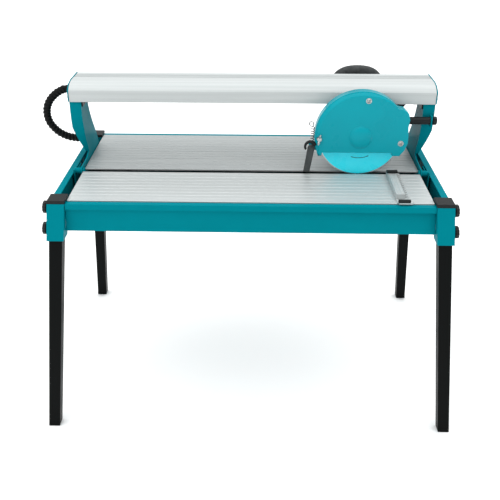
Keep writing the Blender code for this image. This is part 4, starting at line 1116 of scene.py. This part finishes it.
@dataclass
class Fence:
    """Scale marks, jaw pad and bar ridges of the side fence."""

    mark: float = 5 * MM
    mark_width: float = 1.2 * MM
    ridge_half: float = 1.2 * MM

    def build(self) -> set[str]:
        """Make the fence's small pieces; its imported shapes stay."""
        base_low = box_of("fence_base")[0]
        bar_low, bar_high = box_of("fence_bar")
        strip_top = bar_low[2] - 0.3 * MM
        start = bar_high[0] + MM
        marks = []
        for number, y in enumerate(np.arange(bar_low[1] + 4 * MM, bar_high[1] - 4 * MM, self.mark)):
            end = start + (6 if number % 2 else 10) * MM
            marks.append(block("mark", (start, y, strip_top - 0.2 * MM),
                               (end, y + self.mark_width, strip_top + 0.25 * MM)))
        finished(merged("fence_scale_marks", marks), "fence", "black_plastic", NYLON)

        pad = block("fence_jaw_pad", (bar_low[0] + MM, base_low[1] - MM, strip_top + MM),
                    (bar_high[0] + 9 * MM, base_low[1] + 6 * MM, strip_top + 8 * MM))
        finished(soft_edges(pad, MM), "fence", "black_plastic", NYLON)
        ridge_end = middle_of("fence_knob")[0][1] - 17 * MM
        ridges = []
        for share in (0.28, 0.72):
            x = bar_low[0] + share * (bar_high[0] - bar_low[0])
            ridges.append(block("ridge", (x - self.ridge_half, bar_low[1] + 3 * MM, bar_high[2] - 0.3 * MM),
                                (x + self.ridge_half, ridge_end, bar_high[2] + 0.9 * MM)))
        finished(soft_edges(merged("fence_bar_ridges", ridges), 0.4 * MM), "fence_arm", "aluminium", BEAM)
        return set()


@dataclass
class Studio:
    """Floor, soft lights and the camera."""

    place: tuple[float, float, float] = (0.0137, -1.6846, 1.2377)
    pitch: float = 28.36  # degrees down
    yaw: float = 1.39  # degrees to the left
    lens: float = 52.06
    shift: float = 0.02
    sky: float = 0.68
    top_light: float = 2.9
    spread: float = 100  # degrees that the overhead light comes from
    lean: float = -8.0  # degrees that it leans towards the operator
    floor_half: float = 20.0

    def camera(self) -> None:
        """A long-lens view from above the operator."""
        data = bpy.data.cameras.new("camera")
        data.lens = self.lens
        data.sensor_width = 36.0
        data.shift_x = self.shift
        camera = placed("camera", data)
        camera.location = self.place
        camera.rotation_euler = (math.radians(90 - self.pitch), 0, math.radians(self.yaw))
        bpy.context.scene.camera = camera

    def lamp(self, name: str, place, aim, size: float, power: float) -> None:
        """A square soft light that faces a point."""
        data = bpy.data.lights.new(name, "AREA")
        data.shape = "SQUARE"
        data.size = size
        data.energy = power
        lamp = placed(name, data)
        lamp.location = place
        lamp.rotation_euler = (Vector(aim) - Vector(place)).to_track_quat("-Z", "Y").to_euler()

    def overhead(self) -> None:
        """A broad light from above that reaches the whole floor evenly."""
        data = bpy.data.lights.new("overhead", "SUN")
        data.energy = self.top_light
        data.angle = math.radians(self.spread)
        lamp = placed("overhead", data)
        lamp.location = (0, 0, 3)
        lamp.rotation_euler = (math.radians(self.lean), 0, 0)

    def build(self) -> None:
        """Make the stage."""
        scene = bpy.context.scene
        scene.view_settings.view_transform = "Standard"
        world = bpy.data.worlds.new("studio")
        world.use_nodes = True
        light = world.node_tree.nodes["Background"].inputs
        light["Color"].default_value = linear("#FFFFFF")
        light["Strength"].default_value = self.sky
        scene.world = world
        self.camera()
        self.overhead()
        self.lamp("fill", (-1.6, -2.0, 2.0), (0, 0, 0.6), 1.6, 9)
        half = self.floor_half
        floor = block("floor", (-half, -half, -20 * MM), (half, half, -0.5 * MM))
        paper = bpy.data.materials.new("pale_paper")
        paper.use_nodes = True
        shader = paper.node_tree.nodes["Principled BSDF"]
        shader.inputs["Base Color"].default_value = linear("#FDFEFE")
        shader.inputs["Roughness"].default_value = 0.9
        floor.data.materials.append(paper)


def main() -> None:
    """Build every sub-assembly in order."""
    logging.basicConfig(level=logging.INFO)
    Studio().build()
    corners = [Corner(label) for label in ("front_left", "front_right", "rear_left", "rear_right")]
    taken: set[str] = set()
    for assembly in (Bridge(), Table(), Guard(), BladeSet(), Drive(), Fence(), *corners):
        taken |= assembly.build()
    PlainParts().build(taken)


if __name__ == "__main__":
    main()
